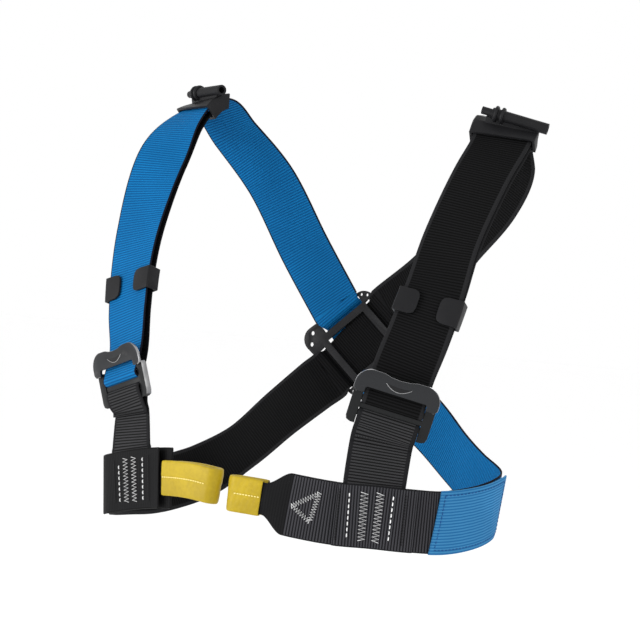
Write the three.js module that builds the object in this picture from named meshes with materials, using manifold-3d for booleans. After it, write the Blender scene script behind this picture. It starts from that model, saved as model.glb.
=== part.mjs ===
// Climbing chest harness, in the form it has on a wearer, in millimetres.
// +Z is up, the wearer faces -Y and the wearer's left arm is towards +X.
// The origin is midway between the two shoulder straps, near where they cross the shoulders.

import * as THREE from 'three';
import { mergeVertices } from 'three/addons/utils/BufferGeometryUtils.js';
import Module from 'manifold-3d';

const wasm = await Module();
wasm.setup();

// Body that the harness is worn on
const CHEST_HALF_WIDTH = 160;
const CHEST_HALF_DEPTH = 103;
const CHEST_AHEAD_OF_SHOULDERS = 22;
const SHOULDER_DROP = 295;

// Webbing and its layers
const WEBBING_WIDTH = 45;
const WEBBING_THICKNESS = 1.6;
const LAYER_GAP = 0.35;
const LAYER_PITCH = WEBBING_THICKNESS + LAYER_GAP;
const ROUTE_STEP = 7;
const LOOP_STEP = 5;
const RISER_STEP = 5;
const PATCH_STEP = 6;
const TURN_STEPS = 8;
const TAIL_SPACING = 5;
const TAIL_SHORT_OF_SHOULDER = 10;

// Chest band, measured along it from the tip of each tie-in loop
const LEFT_BELT_LENGTH = 208;
const LEFT_UNDERLAP = 40;
const LEFT_NECK_START = 27;
const LEFT_NECK_END = 46;
const LEFT_INNER_END = 80;
const COVER_START = 158;
const COVER_LENGTH = 66;
const COVER_WIDTH = 46;
const RIGHT_TAB_START = 44;
const RIGHT_TAB_LENGTH = 104;
const RIGHT_UNDERLAP = 34;
const RIGHT_LOOP_INNER_END = 98;
const PATCH_LEFT_START = 81.5;
const PATCH_LEFT_LENGTH = 57;
const PATCH_RIGHT_START = 52;
const PATCH_RIGHT_LENGTH = 69;
const PATCH_RAMP = 2.4;
const RISER_LEFT_ALONG = 107.5;
const RISER_RIGHT_ALONG = 86.5;
const RISER_FOOT_INSET = 3;
const RISER_CLEAR = 3;
const FOOT_CLEAR = 0.15;
const RISER_APPROACH = 15;
const RISER_FOLD_LENGTH = 18;

// Tie-in loops and their wear sleeves
const LOOP_WIDTH = 23;
const LOOP_THICKNESS = 2.2;
const LOOP_EYE = 5.4;
const SLEEVE_WALL = 1.1;
const LEFT_SLEEVE_LENGTH = 26;
const RIGHT_SLEEVE_LENGTH = 49;
const RIGHT_SLEEVE_INNER_LENGTH = 40;
const RIGHT_TAPE_DROP_LENGTH = 13;
const SLEEVE_CORNER = 1.2;

// Adjuster buckles
const BAR_RADIUS = 2.2;
const BAR_PITCH = 11.5;
const BUCKLE_TILT = 27;
const FRAME_WIDTH = 60;
const FRAME_LEG_WIDTH = 6.3;
const FRAME_CORNER = 4;
const MIDDLE_BAR_HEIGHT = 2.4;
const MIDDLE_BAR_DEPTH = 2.6;
const FRAME_DEPTH = 4.4;
const FRAME_LEG_TOP = 7;
const FRAME_FOOT = 8;
const PLATE_WIDTH = 62;
const PLATE_DEPTH = 2.4;
const PLATE_BOTTOM = 5;
const PLATE_SLOT_TOP = 9.5;
const PLATE_TOP = 23;
const PLATE_SHOULDER = 12;
const PLATE_SCALLOP_DEPTH = 2.2;
const PLATE_LEG_WIDTH = 8.5;
const BUCKLE_FIT = 0.3;

// Strap keepers
const KEEPER_ABOVE_BAR = 75;
const KEEPER_HEIGHT = 19;
const KEEPER_WALL = 1.8;
const KEEPER_EAR = 17;
const KEEPER_CORNER = 5;
const KEEPER_BEVEL = 0.8;
const KEEPER_CLEAR = 0.6;

// Crossing plate on the back
const PLATE_CENTRE = { across: -0.031, back: 0.942, height: -0.597 };
const CROSS_ANGLE = 49;
const CROSS_PLATE_THICKNESS = 2.2;
const WINDOW_HALF = 19.5;
const INNER_BAR = 6;
const SLOT_WIDTH = 7;
const SLOT_LENGTH = 41.5;
const WEBBING_IN_SLOT = 40;
const LOBE_RADIUS = 10.5;
const CROSS_BEND_RADIUS = 1.5;

// Shoulder clips
const CLIP_LENGTH = 18;
const CLIP_WALL = 1.9;
const CLIP_LIP = 9;
const CLIP_CLEAR = 1.2;
const CLIP_TUBE_RADIUS = 4.2;
const CLIP_TUBE_BORE = 2.6;
const CLIP_TUBE_LENGTH = 43;
const CLIP_TUBE_HEIGHT = 9.8;
const CLIP_TUBE_SHIFT = 10;
const CLIP_TUBE_TILT = THREE.MathUtils.degToRad(5);
const CLIP_BORE_FLOOR = 7;
const CLIP_STUB_RADIUS = 2.9;
const CLIP_STUB_LENGTH = 9;
const CLIP_LOOP_RADIUS = 1.6;
const CLIP_LOOP_CLEAR = 0.6;
const CLIP_LOOPS = [3.5, 8.5];
const CLIP_WEB_HALF = 3;
const CLIP_WEB_SINK = 0.7;
const CLIP_OVERLAP = 1;

// Route tables. Across and back are shares of the chest's half width and half depth, height a share
// of the shoulder drop. Turn and tilt give the outward face: degrees from the front towards the
// wearer's left, and degrees up from level.
const ROW = ['across', 'back', 'height', 'turn', 'tilt'];

const LEFT_GIRTH = table(ROW, [
  [0.01, -1.01, -0.986, 0, 0],
  [0.17, -0.985, -0.99, 10, 0],
  [0.345, -0.94, -1.0, 21, 0],
  [0.5, -0.86, -1.007, 31, 0],
  [0.65, -0.75, -1.007, 42, 0],
  [0.78, -0.605, -1.01, 52, 0],
  [0.9, -0.41, -1.01, 64, 0],
  [0.99, -0.175, -0.994, 76, -4],
  [1.018, 0.04, -0.973, 90, -8],
  [0.97, 0.26, -0.955, 115, -8],
  [0.81, 0.45, -0.92, 136, -6],
  [0.65, 0.62, -0.872, 150, 0],
  [0.43, 0.8, -0.793, 163, 0],
]);

const RIGHT_GIRTH = table(ROW, [
  [-0.055, -1.01, -0.974, 0, 0],
  [-0.19, -0.985, -0.968, -8, 0],
  [-0.36, -0.925, -0.972, -15, 0],
  [-0.5, -0.86, -0.983, -18, 0],
  [-0.65, -0.785, -1.0, -20, 0],
  [-0.76, -0.7, -1.015, -27, 0],
  [-0.803, -0.53, -1.022, -54, 0],
  [-0.828, -0.25, -1.026, -80, 0],
  [-0.835, 0.05, -1.028, -93, -4],
  [-0.825, 0.32, -1.018, -112, -12],
  [-0.74, 0.55, -0.987, -140, -24],
  [-0.58, 0.73, -0.912, -172, -28],
  [-0.41, 0.84, -0.81, -178, -16],
]);

const RIGHT_BRACE = table(ROW, [
  [-0.37, 0.875, -0.353, 185, 5],
  [-0.54, 0.7, -0.172, 190, 20],
  [-0.685, 0.465, -0.054, 194, 41],
  [-0.755, 0.235, 0.018, -90, 79],
  [-0.825, 0.02, -0.04, -18, 52],
  [-0.85, -0.195, -0.155, 3, 22],
  [-0.835, -0.435, -0.332, -9, 12],
  [-0.797, -0.59, -0.458, -15, 8],
  [-0.755, -0.69, -0.56, -17, 0],
  [-0.712, -0.765, -0.655, -19, -12],
  [-0.696, -0.855, -0.73, -20, -14],
]);

const LEFT_BRACE = table(ROW, [
  [0.37, 0.835, -0.4, 175, 5],
  [0.55, 0.7, -0.3, 165, 15],
  [0.752, 0.53, -0.19, 160, 35],
  [0.885, 0.34, -0.085, 137, 47],
  [0.89, 0.175, -0.022, 90, 77],
  [0.9, 0.02, -0.07, 14, 48],
  [0.88, -0.2, -0.163, 6, 24],
  [0.834, -0.44, -0.325, 3, 12],
  [0.82, -0.59, -0.45, 8, 8],
  [0.79, -0.69, -0.56, 14, 0],
  [0.75, -0.755, -0.66, 22, -14],
  [0.735, -0.815, -0.735, 24, -14],
]);

// Lobes of the crossing plate. Each holds two holes, past its middle and spread to either side.
const LOBES = table(['across', 'up', 'past', 'spread', 'hole'], [
  [41, 0, 3.2, 4.6, 1.9],
  [0, 32, 7.3, 2.6, 1.3],
  [-41, 0, 3.2, 4.6, 1.9],
  [0, -32, 7.3, 2.6, 1.3],
]);

const COLOURS = {
  black: [0x1c1d1f, 0.85, 0],
  blue: [0x1f73c9, 0.8, 0],
  yellow: [0xe0c41a, 0.75, 0],
  plastic: [0x26272a, 0.5, 0],
  metal: [0x55575b, 0.35, 0.9],
};

const harness = new THREE.Group();

// Rows of a table as objects with named columns
function table(columns, rows) {
  return rows.map((row) => Object.fromEntries(columns.map((name, i) => [name, row[i]])));
}

function placeOf(row) {
  return new THREE.Vector3(
    row.across * CHEST_HALF_WIDTH,
    row.back * CHEST_HALF_DEPTH - CHEST_AHEAD_OF_SHOULDERS,
    row.height * SHOULDER_DROP,
  );
}

function faceOf(row) {
  const turn = THREE.MathUtils.degToRad(row.turn);
  const tilt = THREE.MathUtils.degToRad(row.tilt);
  return new THREE.Vector3(
    Math.cos(tilt) * Math.sin(turn),
    -Math.cos(tilt) * Math.cos(turn),
    Math.sin(tilt),
  );
}

// A station of a strap: where it is, which way it runs, its width direction and its outward face
function station(place, run, face) {
  const along = run.clone().normalize();
  const edge = new THREE.Vector3().crossVectors(along, face).normalize();
  const outward = new THREE.Vector3().crossVectors(edge, along).normalize();
  return { place: place.clone(), run: along, edge, face: outward };
}

// The same station moved along its own run, edge and face
function shifted(from, along, sideways, outward) {
  const place = from.place.clone()
    .addScaledVector(from.run, along)
    .addScaledVector(from.edge, sideways)
    .addScaledVector(from.face, outward);
  return { ...from, place };
}

function reversed(from) {
  return { ...from, run: from.run.clone().negate(), face: from.face.clone().negate() };
}

// A smooth route through places and faces, read by the length run from its start
class Route {
  constructor(places, faces) {
    this.places = new THREE.CatmullRomCurve3(places);
    this.places.arcLengthDivisions = 400;
    this.faces = new THREE.CatmullRomCurve3(faces);
    this.length = this.places.getLength();
  }

  at(length, lift = 0) {
    const share = THREE.MathUtils.clamp(length / this.length, 0, 1);
    const t = this.places.getUtoTmapping(share);
    const found = station(this.places.getPoint(t), this.places.getTangent(t), this.faces.getPoint(t));
    return shifted(found, 0, 0, lift);
  }

  // Stations from one length to another. The lift off the route may follow the length.
  between(from, to, lift = 0, step = ROUTE_STEP) {
    const count = Math.max(2, Math.ceil(Math.abs(to - from) / step));
    return Array.from({ length: count + 1 }, (_, i) => {
      const length = from + ((to - from) * i) / count;
      return { ...this.at(length, typeof lift === 'function' ? lift(length) : lift), length };
    });
  }
}

// A half turn round a bar behind the last station, away from its face
function halfTurn(last, radius, steps = TURN_STEPS) {
  const centre = last.place.clone().addScaledVector(last.face, -radius);
  return Array.from({ length: steps }, (_, i) => {
    const angle = (Math.PI * (i + 1)) / steps;
    const outward = last.face.clone().multiplyScalar(Math.cos(angle))
      .addScaledVector(last.run, Math.sin(angle));
    const run = last.run.clone().multiplyScalar(Math.cos(angle))
      .addScaledVector(last.face, -Math.sin(angle));
    return { place: centre.clone().addScaledVector(outward, radius), run, edge: last.edge, face: outward };
  });
}

// Faces of a solid swept through stations. Each section is a closed outline, and may hold a bore,
// of points given as distance towards the face and distance along the edge.
function sweep(stations, sectionAt) {
  const positions = [];
  const index = [];
  const sections = stations.map((s, i) => sectionAt(i, s));
  const loops = [sections[0].outline, ...(sections[0].bores ?? [])];
  const starts = [];
  stations.forEach((s, i) => {
    const rings = [sections[i].outline, ...(sections[i].bores ?? [])];
    starts.push(positions.length / 3);
    rings.flat().forEach(([out, side]) => {
      const p = s.place.clone().addScaledVector(s.face, out).addScaledVector(s.edge, side);
      positions.push(p.x, p.y, p.z);
    });
  });
  let first = 0;
  loops.forEach((loop) => {
    for (let i = 0; i < stations.length - 1; i += 1) {
      for (let k = 0; k < loop.length; k += 1) {
        const next = (k + 1) % loop.length;
        const a = starts[i] + first + k;
        const b = starts[i] + first + next;
        const c = starts[i + 1] + first + next;
        const d = starts[i + 1] + first + k;
        index.push(a, b, c, a, c, d);
      }
    }
    first += loop.length;
  });
  [0, stations.length - 1].forEach((i) => {
    const outline = sections[i].outline.map(([x, y]) => new THREE.Vector2(x, y));
    const bores = (sections[i].bores ?? []).map((ring) => ring.map(([x, y]) => new THREE.Vector2(x, y)));
    THREE.ShapeUtils.triangulateShape(outline, bores).forEach(([a, b, c]) => {
      const flip = i === 0;
      index.push(starts[i] + a, starts[i] + (flip ? c : b), starts[i] + (flip ? b : c));
    });
  });
  const geometry = new THREE.BufferGeometry();
  geometry.setAttribute('position', new THREE.Float32BufferAttribute(positions, 3));
  geometry.setIndex(index);
  return geometry;
}

function bandSection(width, thickness) {
  const half = width / 2;
  const up = thickness / 2;
  return { outline: [[-up, -half], [up, -half], [up, half], [-up, half]] };
}

function band(stations, width = WEBBING_WIDTH, thickness = WEBBING_THICKNESS) {
  return sweep(stations, () => bandSection(width, thickness));
}

// A box outline with its corners cut, counter-clockwise
function chamferedOutline(width, thickness, cut) {
  const half = width / 2;
  const up = thickness / 2;
  return [
    [-up + cut, -half], [up - cut, -half], [up, -half + cut], [up, half - cut],
    [up - cut, half], [-up + cut, half], [-up, half - cut], [-up, -half + cut],
  ];
}

function addPart(name, geometry, finish) {
  const [color, roughness, metalness] = COLOURS[finish];
  const mesh = new THREE.Mesh(geometry, new THREE.MeshStandardMaterial({ color, roughness, metalness }));
  mesh.name = name;
  harness.add(mesh);
  return mesh;
}

// Solids that are joined or cut
function toSolid(geometry) {
  const bare = geometry.clone();
  bare.deleteAttribute('normal');
  bare.deleteAttribute('uv');
  const merged = mergeVertices(bare, 1e-4);
  return new wasm.Manifold(new wasm.Mesh({
    numProp: 3,
    vertProperties: new Float32Array(merged.attributes.position.array),
    triVerts: new Uint32Array(merged.index.array),
  }));
}

function toGeometry(solid) {
  const mesh = solid.getMesh();
  const geometry = new THREE.BufferGeometry();
  geometry.setAttribute('position', new THREE.BufferAttribute(mesh.vertProperties, 3));
  geometry.setIndex(new THREE.BufferAttribute(mesh.triVerts, 1));
  return geometry;
}

// A flat shape given a depth about its own plane
function slab(shape, depth, curveSegments = 6) {
  const geometry = new THREE.ExtrudeGeometry(shape, { depth, bevelEnabled: false, curveSegments });
  geometry.translate(0, 0, -depth / 2);
  return geometry;
}

function ringShape(points) {
  return new THREE.Shape(points.map(([x, y]) => new THREE.Vector2(x, y)));
}

function circlePath(x, y, radius, sides = 10) {
  return new THREE.Path(Array.from({ length: sides }, (_, i) => {
    const angle = (2 * Math.PI * i) / sides;
    return new THREE.Vector2(x + radius * Math.cos(angle), y + radius * Math.sin(angle));
  }));
}

// Points of an arc, from one angle to another, in degrees
function arc(x, y, radius, from, to, steps) {
  return Array.from({ length: steps + 1 }, (_, i) => {
    const angle = THREE.MathUtils.degToRad(from + ((to - from) * i) / steps);
    return [x + radius * Math.cos(angle), y + radius * Math.sin(angle)];
  });
}

function orient(geometry, place, xAxis, yAxis, zAxis) {
  const matrix = new THREE.Matrix4().makeBasis(xAxis, yAxis, zAxis).setPosition(place);
  return geometry.clone().applyMatrix4(matrix);
}

// Crossing plate: across is towards the wearer's right seen from behind, up is up, out is backwards
const plate = (() => {
  const centre = placeOf(PLATE_CENTRE);
  const across = new THREE.Vector3(-1, 0, 0);
  const up = new THREE.Vector3(0, 0, 1);
  const out = new THREE.Vector3(0, 1, 0);
  return { centre, across, up, out };
})();

function inPlate(x, y, z) {
  return plate.centre.clone()
    .addScaledVector(plate.across, x)
    .addScaledVector(plate.up, y)
    .addScaledVector(plate.out, z);
}

// Heights of the straps off the plate's middle plane
const OUTSIDE_BAR = CROSS_PLATE_THICKNESS / 2 + LAYER_GAP + WEBBING_THICKNESS / 2;
const SLOT_NEAR = WINDOW_HALF + INNER_BAR;
const SLOT_FAR = SLOT_NEAR + SLOT_WIDTH;
const PLATE_APPROACH = SLOT_FAR + 5;

function crossDirection(side) {
  const angle = THREE.MathUtils.degToRad(CROSS_ANGLE);
  return [side * Math.cos(angle), Math.sin(angle)];
}

// The strap's way through the plate: over the outer bars on the body side, behind the inner bars
function plateStations(side, height) {
  const [dx, dy] = crossDirection(side);
  const drop = height + OUTSIDE_BAR;
  const lean = THREE.MathUtils.degToRad(62);
  const run = drop / Math.tan(lean);
  const low = SLOT_FAR - 1.1;
  const corners = [
    [-PLATE_APPROACH, -OUTSIDE_BAR], [-low, -OUTSIDE_BAR], [-low + run, height],
    [low - run, height], [low, -OUTSIDE_BAR], [PLATE_APPROACH, -OUTSIDE_BAR],
  ];
  const path = filleted(corners, CROSS_BEND_RADIUS, 3);
  return path.map(([s, z], i) => {
    const [s0, z0] = path[Math.max(0, i - 1)];
    const [s1, z1] = path[Math.min(path.length - 1, i + 1)];
    const along = new THREE.Vector2(s1 - s0, z1 - z0).normalize();
    const runDirection = plate.across.clone().multiplyScalar(dx * along.x)
      .addScaledVector(plate.up, dy * along.x)
      .addScaledVector(plate.out, along.y);
    return station(inPlate(s * dx, s * dy, z), runDirection, plate.out);
  });
}

// A path of straight stretches with its inner corners rounded
function filleted(corners, radius, steps) {
  const path = [corners[0]];
  for (let i = 1; i < corners.length - 1; i += 1) {
    const here = new THREE.Vector2(...corners[i]);
    const before = new THREE.Vector2(...corners[i - 1]).sub(here).normalize();
    const after = new THREE.Vector2(...corners[i + 1]).sub(here).normalize();
    const half = Math.acos(THREE.MathUtils.clamp(before.dot(after), -1, 1)) / 2;
    const reach = radius / Math.tan(half);
    const start = here.clone().addScaledVector(before, reach);
    const end = here.clone().addScaledVector(after, reach);
    for (let k = 0; k <= steps; k += 1) {
      const t = k / steps;
      const a = start.clone().lerp(here, t);
      const b = here.clone().lerp(end, t);
      path.push(a.lerp(b, t).toArray());
    }
  }
  path.push(corners[corners.length - 1]);
  return path;
}

function routeFrom(rows, lead = [], tail = []) {
  const places = [...lead.map((s) => s.place), ...rows.map(placeOf), ...tail.map((s) => s.place)];
  const faces = [...lead.map((s) => s.face), ...rows.map(faceOf), ...tail.map((s) => s.face)];
  return new Route(places, faces);
}

// The black strap climbs towards the wearer's left, the blue one towards the wearer's right
const blackCross = plateStations(-1, OUTSIDE_BAR);
const blueCross = plateStations(1, OUTSIDE_BAR + LAYER_PITCH);
const leftGirth = routeFrom(LEFT_GIRTH, [], [blueCross[0]]);
const rightGirth = routeFrom(RIGHT_GIRTH, [], [blackCross[0]]);
const leftBrace = routeFrom(LEFT_BRACE, [blackCross[blackCross.length - 1]]);
const rightBrace = routeFrom(RIGHT_BRACE, [blueCross[blueCross.length - 1]]);

// A whole shoulder web: girth, crossing, brace, turn round the buckle's bar and tail
const WRAP_RADIUS = BAR_RADIUS + BUCKLE_FIT + WEBBING_THICKNESS / 2;

function tailSpacing(fromBar) {
  const settled = THREE.MathUtils.smoothstep(fromBar, 0, KEEPER_ABOVE_BAR / 2);
  return THREE.MathUtils.lerp(2 * WRAP_RADIUS, TAIL_SPACING, settled);
}

function shoulderWeb(girth, from, cross, brace, clipAt) {
  const lead = girth.between(from, girth.length - ROUTE_STEP, -LAYER_PITCH);
  const over = brace.between(ROUTE_STEP, brace.length);
  const last = over[over.length - 1];
  const tailEnd = brace.length - clipAt - TAIL_SHORT_OF_SHOULDER;
  const tail = brace.between(brace.length - 2, brace.length - tailEnd).map((s, i, all) => {
    const fromBar = 2 + ((tailEnd - 2) * i) / (all.length - 1);
    return reversed(shifted(s, 0, 0, -tailSpacing(fromBar)));
  });
  const stations = [...lead, ...cross, ...over, ...halfTurn(last, WRAP_RADIUS), ...tail];
  const firstInPlate = lead.length + 1;
  const lastInPlate = lead.length + cross.length - 2;
  return sweep(stations, (i) => {
    const inPlate = i >= firstInPlate && i <= lastInPlate;
    return bandSection(inPlate ? WEBBING_IN_SLOT : WEBBING_WIDTH, WEBBING_THICKNESS);
  });
}

// The height of the brace above the buckle's bar at which it crosses the shoulder
function crestLength(brace) {
  const samples = brace.between(0, brace.length, 0, 2);
  const best = samples.reduce((high, s, i) => (s.place.z > samples[high].place.z ? i : high), 0);
  return (brace.length * best) / (samples.length - 1);
}

const SIDES = {
  left: { girth: leftGirth, brace: leftBrace, mirror: 1 },
  right: { girth: rightGirth, brace: rightBrace, mirror: -1 },
};
Object.values(SIDES).forEach((side) => {
  side.crest = crestLength(side.brace);
  const end = side.brace.at(side.brace.length);
  const up = end.run.clone().negate();
  const tilt = THREE.MathUtils.degToRad(BUCKLE_TILT);
  side.strapEnd = end;
  side.bar = end.place.clone().addScaledVector(end.face, -WRAP_RADIUS);
  side.up = up.clone().multiplyScalar(Math.cos(tilt)).addScaledVector(end.face, Math.sin(tilt));
  side.out = end.face.clone().multiplyScalar(Math.cos(tilt)).addScaledVector(up, -Math.sin(tilt));
  side.across = new THREE.Vector3().crossVectors(side.up, side.out);
  side.lowBar = side.bar.clone().addScaledVector(side.up, -BAR_PITCH);
});

const LEFT_WEB_START = LEFT_BELT_LENGTH - LEFT_UNDERLAP;
const RIGHT_WEB_START = RIGHT_TAB_START + RIGHT_TAB_LENGTH - RIGHT_UNDERLAP;
const blueWeb = shoulderWeb(leftGirth, LEFT_WEB_START, blueCross, rightBrace, SIDES.right.crest);
const blackWeb = shoulderWeb(rightGirth, RIGHT_WEB_START, blackCross, leftBrace, SIDES.left.crest);
addPart('web_blue', blueWeb, 'blue');
addPart('web_black', blackWeb, 'black');

// Crossing plate
function backPlate() {
  const outline = LOBES.flatMap(({ across: x, up: y }, i) => {
    const { across: nx, up: ny } = LOBES[(i + 1) % 4];
    const { across: px, up: py } = LOBES[(i + 3) % 4];
    const leave = THREE.MathUtils.radToDeg(Math.atan2(ny - y, nx - x)) - 90;
    let arrive = THREE.MathUtils.radToDeg(Math.atan2(y - py, x - px)) - 90;
    while (arrive > leave) arrive -= 360;
    while (leave - arrive > 360) arrive += 360;
    return arc(x, y, LOBE_RADIUS, arrive, leave, 7);
  });
  const shape = ringShape(outline);
  const centreLine = (SLOT_NEAR + SLOT_FAR) / 2;
  const half = [SLOT_WIDTH / 2, SLOT_LENGTH / 2];
  [-1, 1].forEach((side) => [-1, 1].forEach((end) => {
    const [dx, dy] = crossDirection(side);
    const corner = (s, w) => new THREE.Vector2(
      end * centreLine * dx + s * half[0] * dx - w * half[1] * dy,
      end * centreLine * dy + s * half[0] * dy + w * half[1] * dx,
    );
    shape.holes.push(new THREE.Path([corner(-1, -1), corner(1, -1), corner(1, 1), corner(-1, 1)]));
  }));
  const [dx, dy] = crossDirection(1);
  shape.holes.push(new THREE.Path([
    new THREE.Vector2(WINDOW_HALF / dx, 0),
    new THREE.Vector2(0, WINDOW_HALF / dy),
    new THREE.Vector2(-WINDOW_HALF / dx, 0),
    new THREE.Vector2(0, -WINDOW_HALF / dy),
  ]));
  LOBES.forEach(({ across: x, up: y, past, spread, hole }) => [-1, 1].forEach((k) => {
    const size = Math.hypot(x, y);
    const out = 1 + past / size;
    const side = k * spread;
    shape.holes.push(circlePath(x * out - (y / size) * side, y * out + (x / size) * side, hole, 8));
  }));
  return orient(slab(shape, CROSS_PLATE_THICKNESS), plate.centre, plate.across, plate.up, plate.out);
}
addPart('back_plate', backPlate(), 'plastic');

// Adjuster buckles. In a buckle's own frame x is across, y up its length and z outwards, with the
// middle bar along the x axis.
function inBuckle(side, geometry) {
  return orient(geometry, side.bar, side.across, side.up, side.out);
}

function barAlongX(radius, length, y, z) {
  const bar = new THREE.CylinderGeometry(radius, radius, length, 12);
  bar.rotateZ(Math.PI / 2);
  bar.translate(0, y, z);
  return bar;
}

const BAR_INNER_SPAN = FRAME_WIDTH - 2 * FRAME_LEG_WIDTH;

function buckleFrame() {
  const half = FRAME_WIDTH / 2;
  const bottom = -BAR_PITCH - FRAME_FOOT;
  const corner = FRAME_CORNER;
  return [-1, 1].map((s) => {
    const inner = s * (half - FRAME_LEG_WIDTH);
    const outer = s * half;
    const ring = [
      [inner, bottom], [outer - s * corner, bottom], [outer - s, bottom + 1.2],
      [outer, bottom + corner], [outer, FRAME_LEG_TOP - 2], [outer - s * 1.5, FRAME_LEG_TOP],
      [inner, FRAME_LEG_TOP],
    ];
    return slab(ringShape(s > 0 ? ring : ring.reverse()), FRAME_DEPTH);
  });
}

function buckleSolid() {
  const span = BAR_INNER_SPAN + 2;
  const bars = [0, -BAR_PITCH].map((y) => barAlongX(BAR_RADIUS, span, y, 0));
  const middle = new THREE.BoxGeometry(span, MIDDLE_BAR_HEIGHT, MIDDLE_BAR_DEPTH);
  middle.translate(0, -BAR_PITCH / 2, 0);
  return [...buckleFrame(), ...bars, middle].map(toSolid).reduce((all, part) => all.add(part));
}

function buckleTop() {
  const half = PLATE_WIDTH / 2;
  const scallop = PLATE_TOP - PLATE_SCALLOP_DEPTH;
  const outline = [
    [half - 2.5, PLATE_BOTTOM - 0.5], [half, PLATE_BOTTOM + 2],
    ...arc(half - PLATE_SHOULDER, PLATE_TOP - PLATE_SHOULDER, PLATE_SHOULDER, 5, 85, 6),
    [12, PLATE_TOP - 0.2], [7, scallop + 0.6], [0, scallop], [-7, scallop + 0.6], [-12, PLATE_TOP - 0.2],
    ...arc(-half + PLATE_SHOULDER, PLATE_TOP - PLATE_SHOULDER, PLATE_SHOULDER, 95, 175, 6),
    [-half, PLATE_BOTTOM + 2], [-half + 2.5, PLATE_BOTTOM - 0.5],
    [-half + PLATE_LEG_WIDTH, PLATE_BOTTOM], [-half + PLATE_LEG_WIDTH, PLATE_SLOT_TOP - 1],
    [-half + PLATE_LEG_WIDTH + 1, PLATE_SLOT_TOP], [half - PLATE_LEG_WIDTH - 1, PLATE_SLOT_TOP],
    [half - PLATE_LEG_WIDTH, PLATE_SLOT_TOP - 1], [half - PLATE_LEG_WIDTH, PLATE_BOTTOM],
  ];
  const top = slab(ringShape(outline), PLATE_DEPTH);
  top.translate(0, 0, FRAME_DEPTH / 2 + BUCKLE_FIT + PLATE_DEPTH / 2);
  return top;
}

Object.entries(SIDES).forEach(([name, side]) => {
  addPart(`buckle_frame_${name}`, inBuckle(side, toGeometry(buckleSolid())), 'metal');
  addPart(`buckle_top_${name}`, inBuckle(side, buckleTop()), 'metal');
});

// Chest band, tie-in loops and sleeves
const SLEEVE_REACH = LOOP_THICKNESS / 2 + LAYER_GAP + SLEEVE_WALL;
const LOOP_TURN = LOOP_EYE / 2 + SLEEVE_REACH;
const TAPE_ON_TAB = (WEBBING_THICKNESS + LOOP_THICKNESS) / 2 + LAYER_GAP;
const SLEEVE_ON_TAB = WEBBING_THICKNESS / 2 + LAYER_GAP + SLEEVE_REACH;

function ease(value, from, to) {
  return THREE.MathUtils.smoothstep(value, from, to);
}

// A value that goes from one size to another between two lengths
function blend(length, [start, end], [first, last]) {
  return THREE.MathUtils.lerp(first, last, ease(length, start, end));
}

// A girth read backwards runs towards the loop's tip
function facingForward(s) {
  return { ...s, run: s.run.clone().negate(), edge: s.edge.clone().negate() };
}

// A strap that comes to the loop's tip on the outside, turns there and goes back inside. The two
// lifts give its height off the girth on either side of the turn.
function loopStations(girth, outerEnd, outerLift, innerLift, innerEnd) {
  const outer = girth.between(outerEnd, LOOP_TURN, outerLift, LOOP_STEP).map(facingForward);
  const turn = halfTurn(outer[outer.length - 1], LOOP_TURN).map((s) => ({ ...s, length: 0 }));
  const inner = girth.between(LOOP_TURN, innerEnd, innerLift, LOOP_STEP).slice(1);
  return [...outer, ...turn, ...inner.map((s) => reversed(facingForward(s)))];
}

function sleeve(stations) {
  const wide = LOOP_WIDTH + 2 * LAYER_GAP;
  const thick = LOOP_THICKNESS + 2 * LAYER_GAP;
  const outline = chamferedOutline(wide + 2 * SLEEVE_WALL, thick + 2 * SLEEVE_WALL, SLEEVE_CORNER);
  const bore = bandSection(wide, thick).outline.reverse();
  return sweep(stations, () => ({ outline, bores: [bore] }));
}

// The left chest band narrows into its own tie-in loop
const NECK = [LEFT_NECK_START, LEFT_NECK_END];
const leftOuterLift = () => 0;
const leftInnerLift = (length) => -blend(length, NECK, [2 * LOOP_TURN, LAYER_PITCH]);
const leftBelt = loopStations(leftGirth, LEFT_BELT_LENGTH, leftOuterLift, leftInnerLift, LEFT_INNER_END);
addPart('belt_left', sweep(leftBelt, (_, s) => bandSection(
  blend(s.length, NECK, [LOOP_WIDTH, WEBBING_WIDTH]),
  blend(s.length, NECK, [LOOP_THICKNESS, WEBBING_THICKNESS]),
)), 'black');
addPart('sleeve_left', sleeve(
  loopStations(leftGirth, LEFT_SLEEVE_LENGTH, leftOuterLift, leftInnerLift, LEFT_SLEEVE_LENGTH),
), 'yellow');

// The right tie-in loop is a tape of its own, sewn on both sides of a tab
const RIGHT_TAB_END = RIGHT_TAB_START + RIGHT_TAB_LENGTH;
const rightInnerLift = (length) => -blend(length, [0, RIGHT_TAB_START], [LOOP_TURN, TAPE_ON_TAB]);
const TAPE_DROP = [RIGHT_SLEEVE_LENGTH, RIGHT_SLEEVE_LENGTH + RIGHT_TAPE_DROP_LENGTH];
function rightOuterLift(length) {
  return blend(length, [0, RIGHT_TAB_START], [LOOP_TURN, SLEEVE_ON_TAB])
    + blend(length, TAPE_DROP, [0, TAPE_ON_TAB - SLEEVE_ON_TAB]);
}
const RIGHT_TAPE_OUTER_END = RISER_RIGHT_ALONG - WEBBING_WIDTH / 2 - 1;
addPart('tab_right', band(rightGirth.between(RIGHT_TAB_START, RIGHT_TAB_END)), 'black');
addPart('loop_right', band(
  loopStations(rightGirth, RIGHT_TAPE_OUTER_END, rightOuterLift, rightInnerLift, RIGHT_LOOP_INNER_END),
  LOOP_WIDTH,
  LOOP_THICKNESS,
), 'black');
addPart('sleeve_right', sleeve(
  loopStations(rightGirth, RIGHT_SLEEVE_LENGTH, rightOuterLift, rightInnerLift, RIGHT_SLEEVE_INNER_LENGTH),
), 'yellow');

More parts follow.
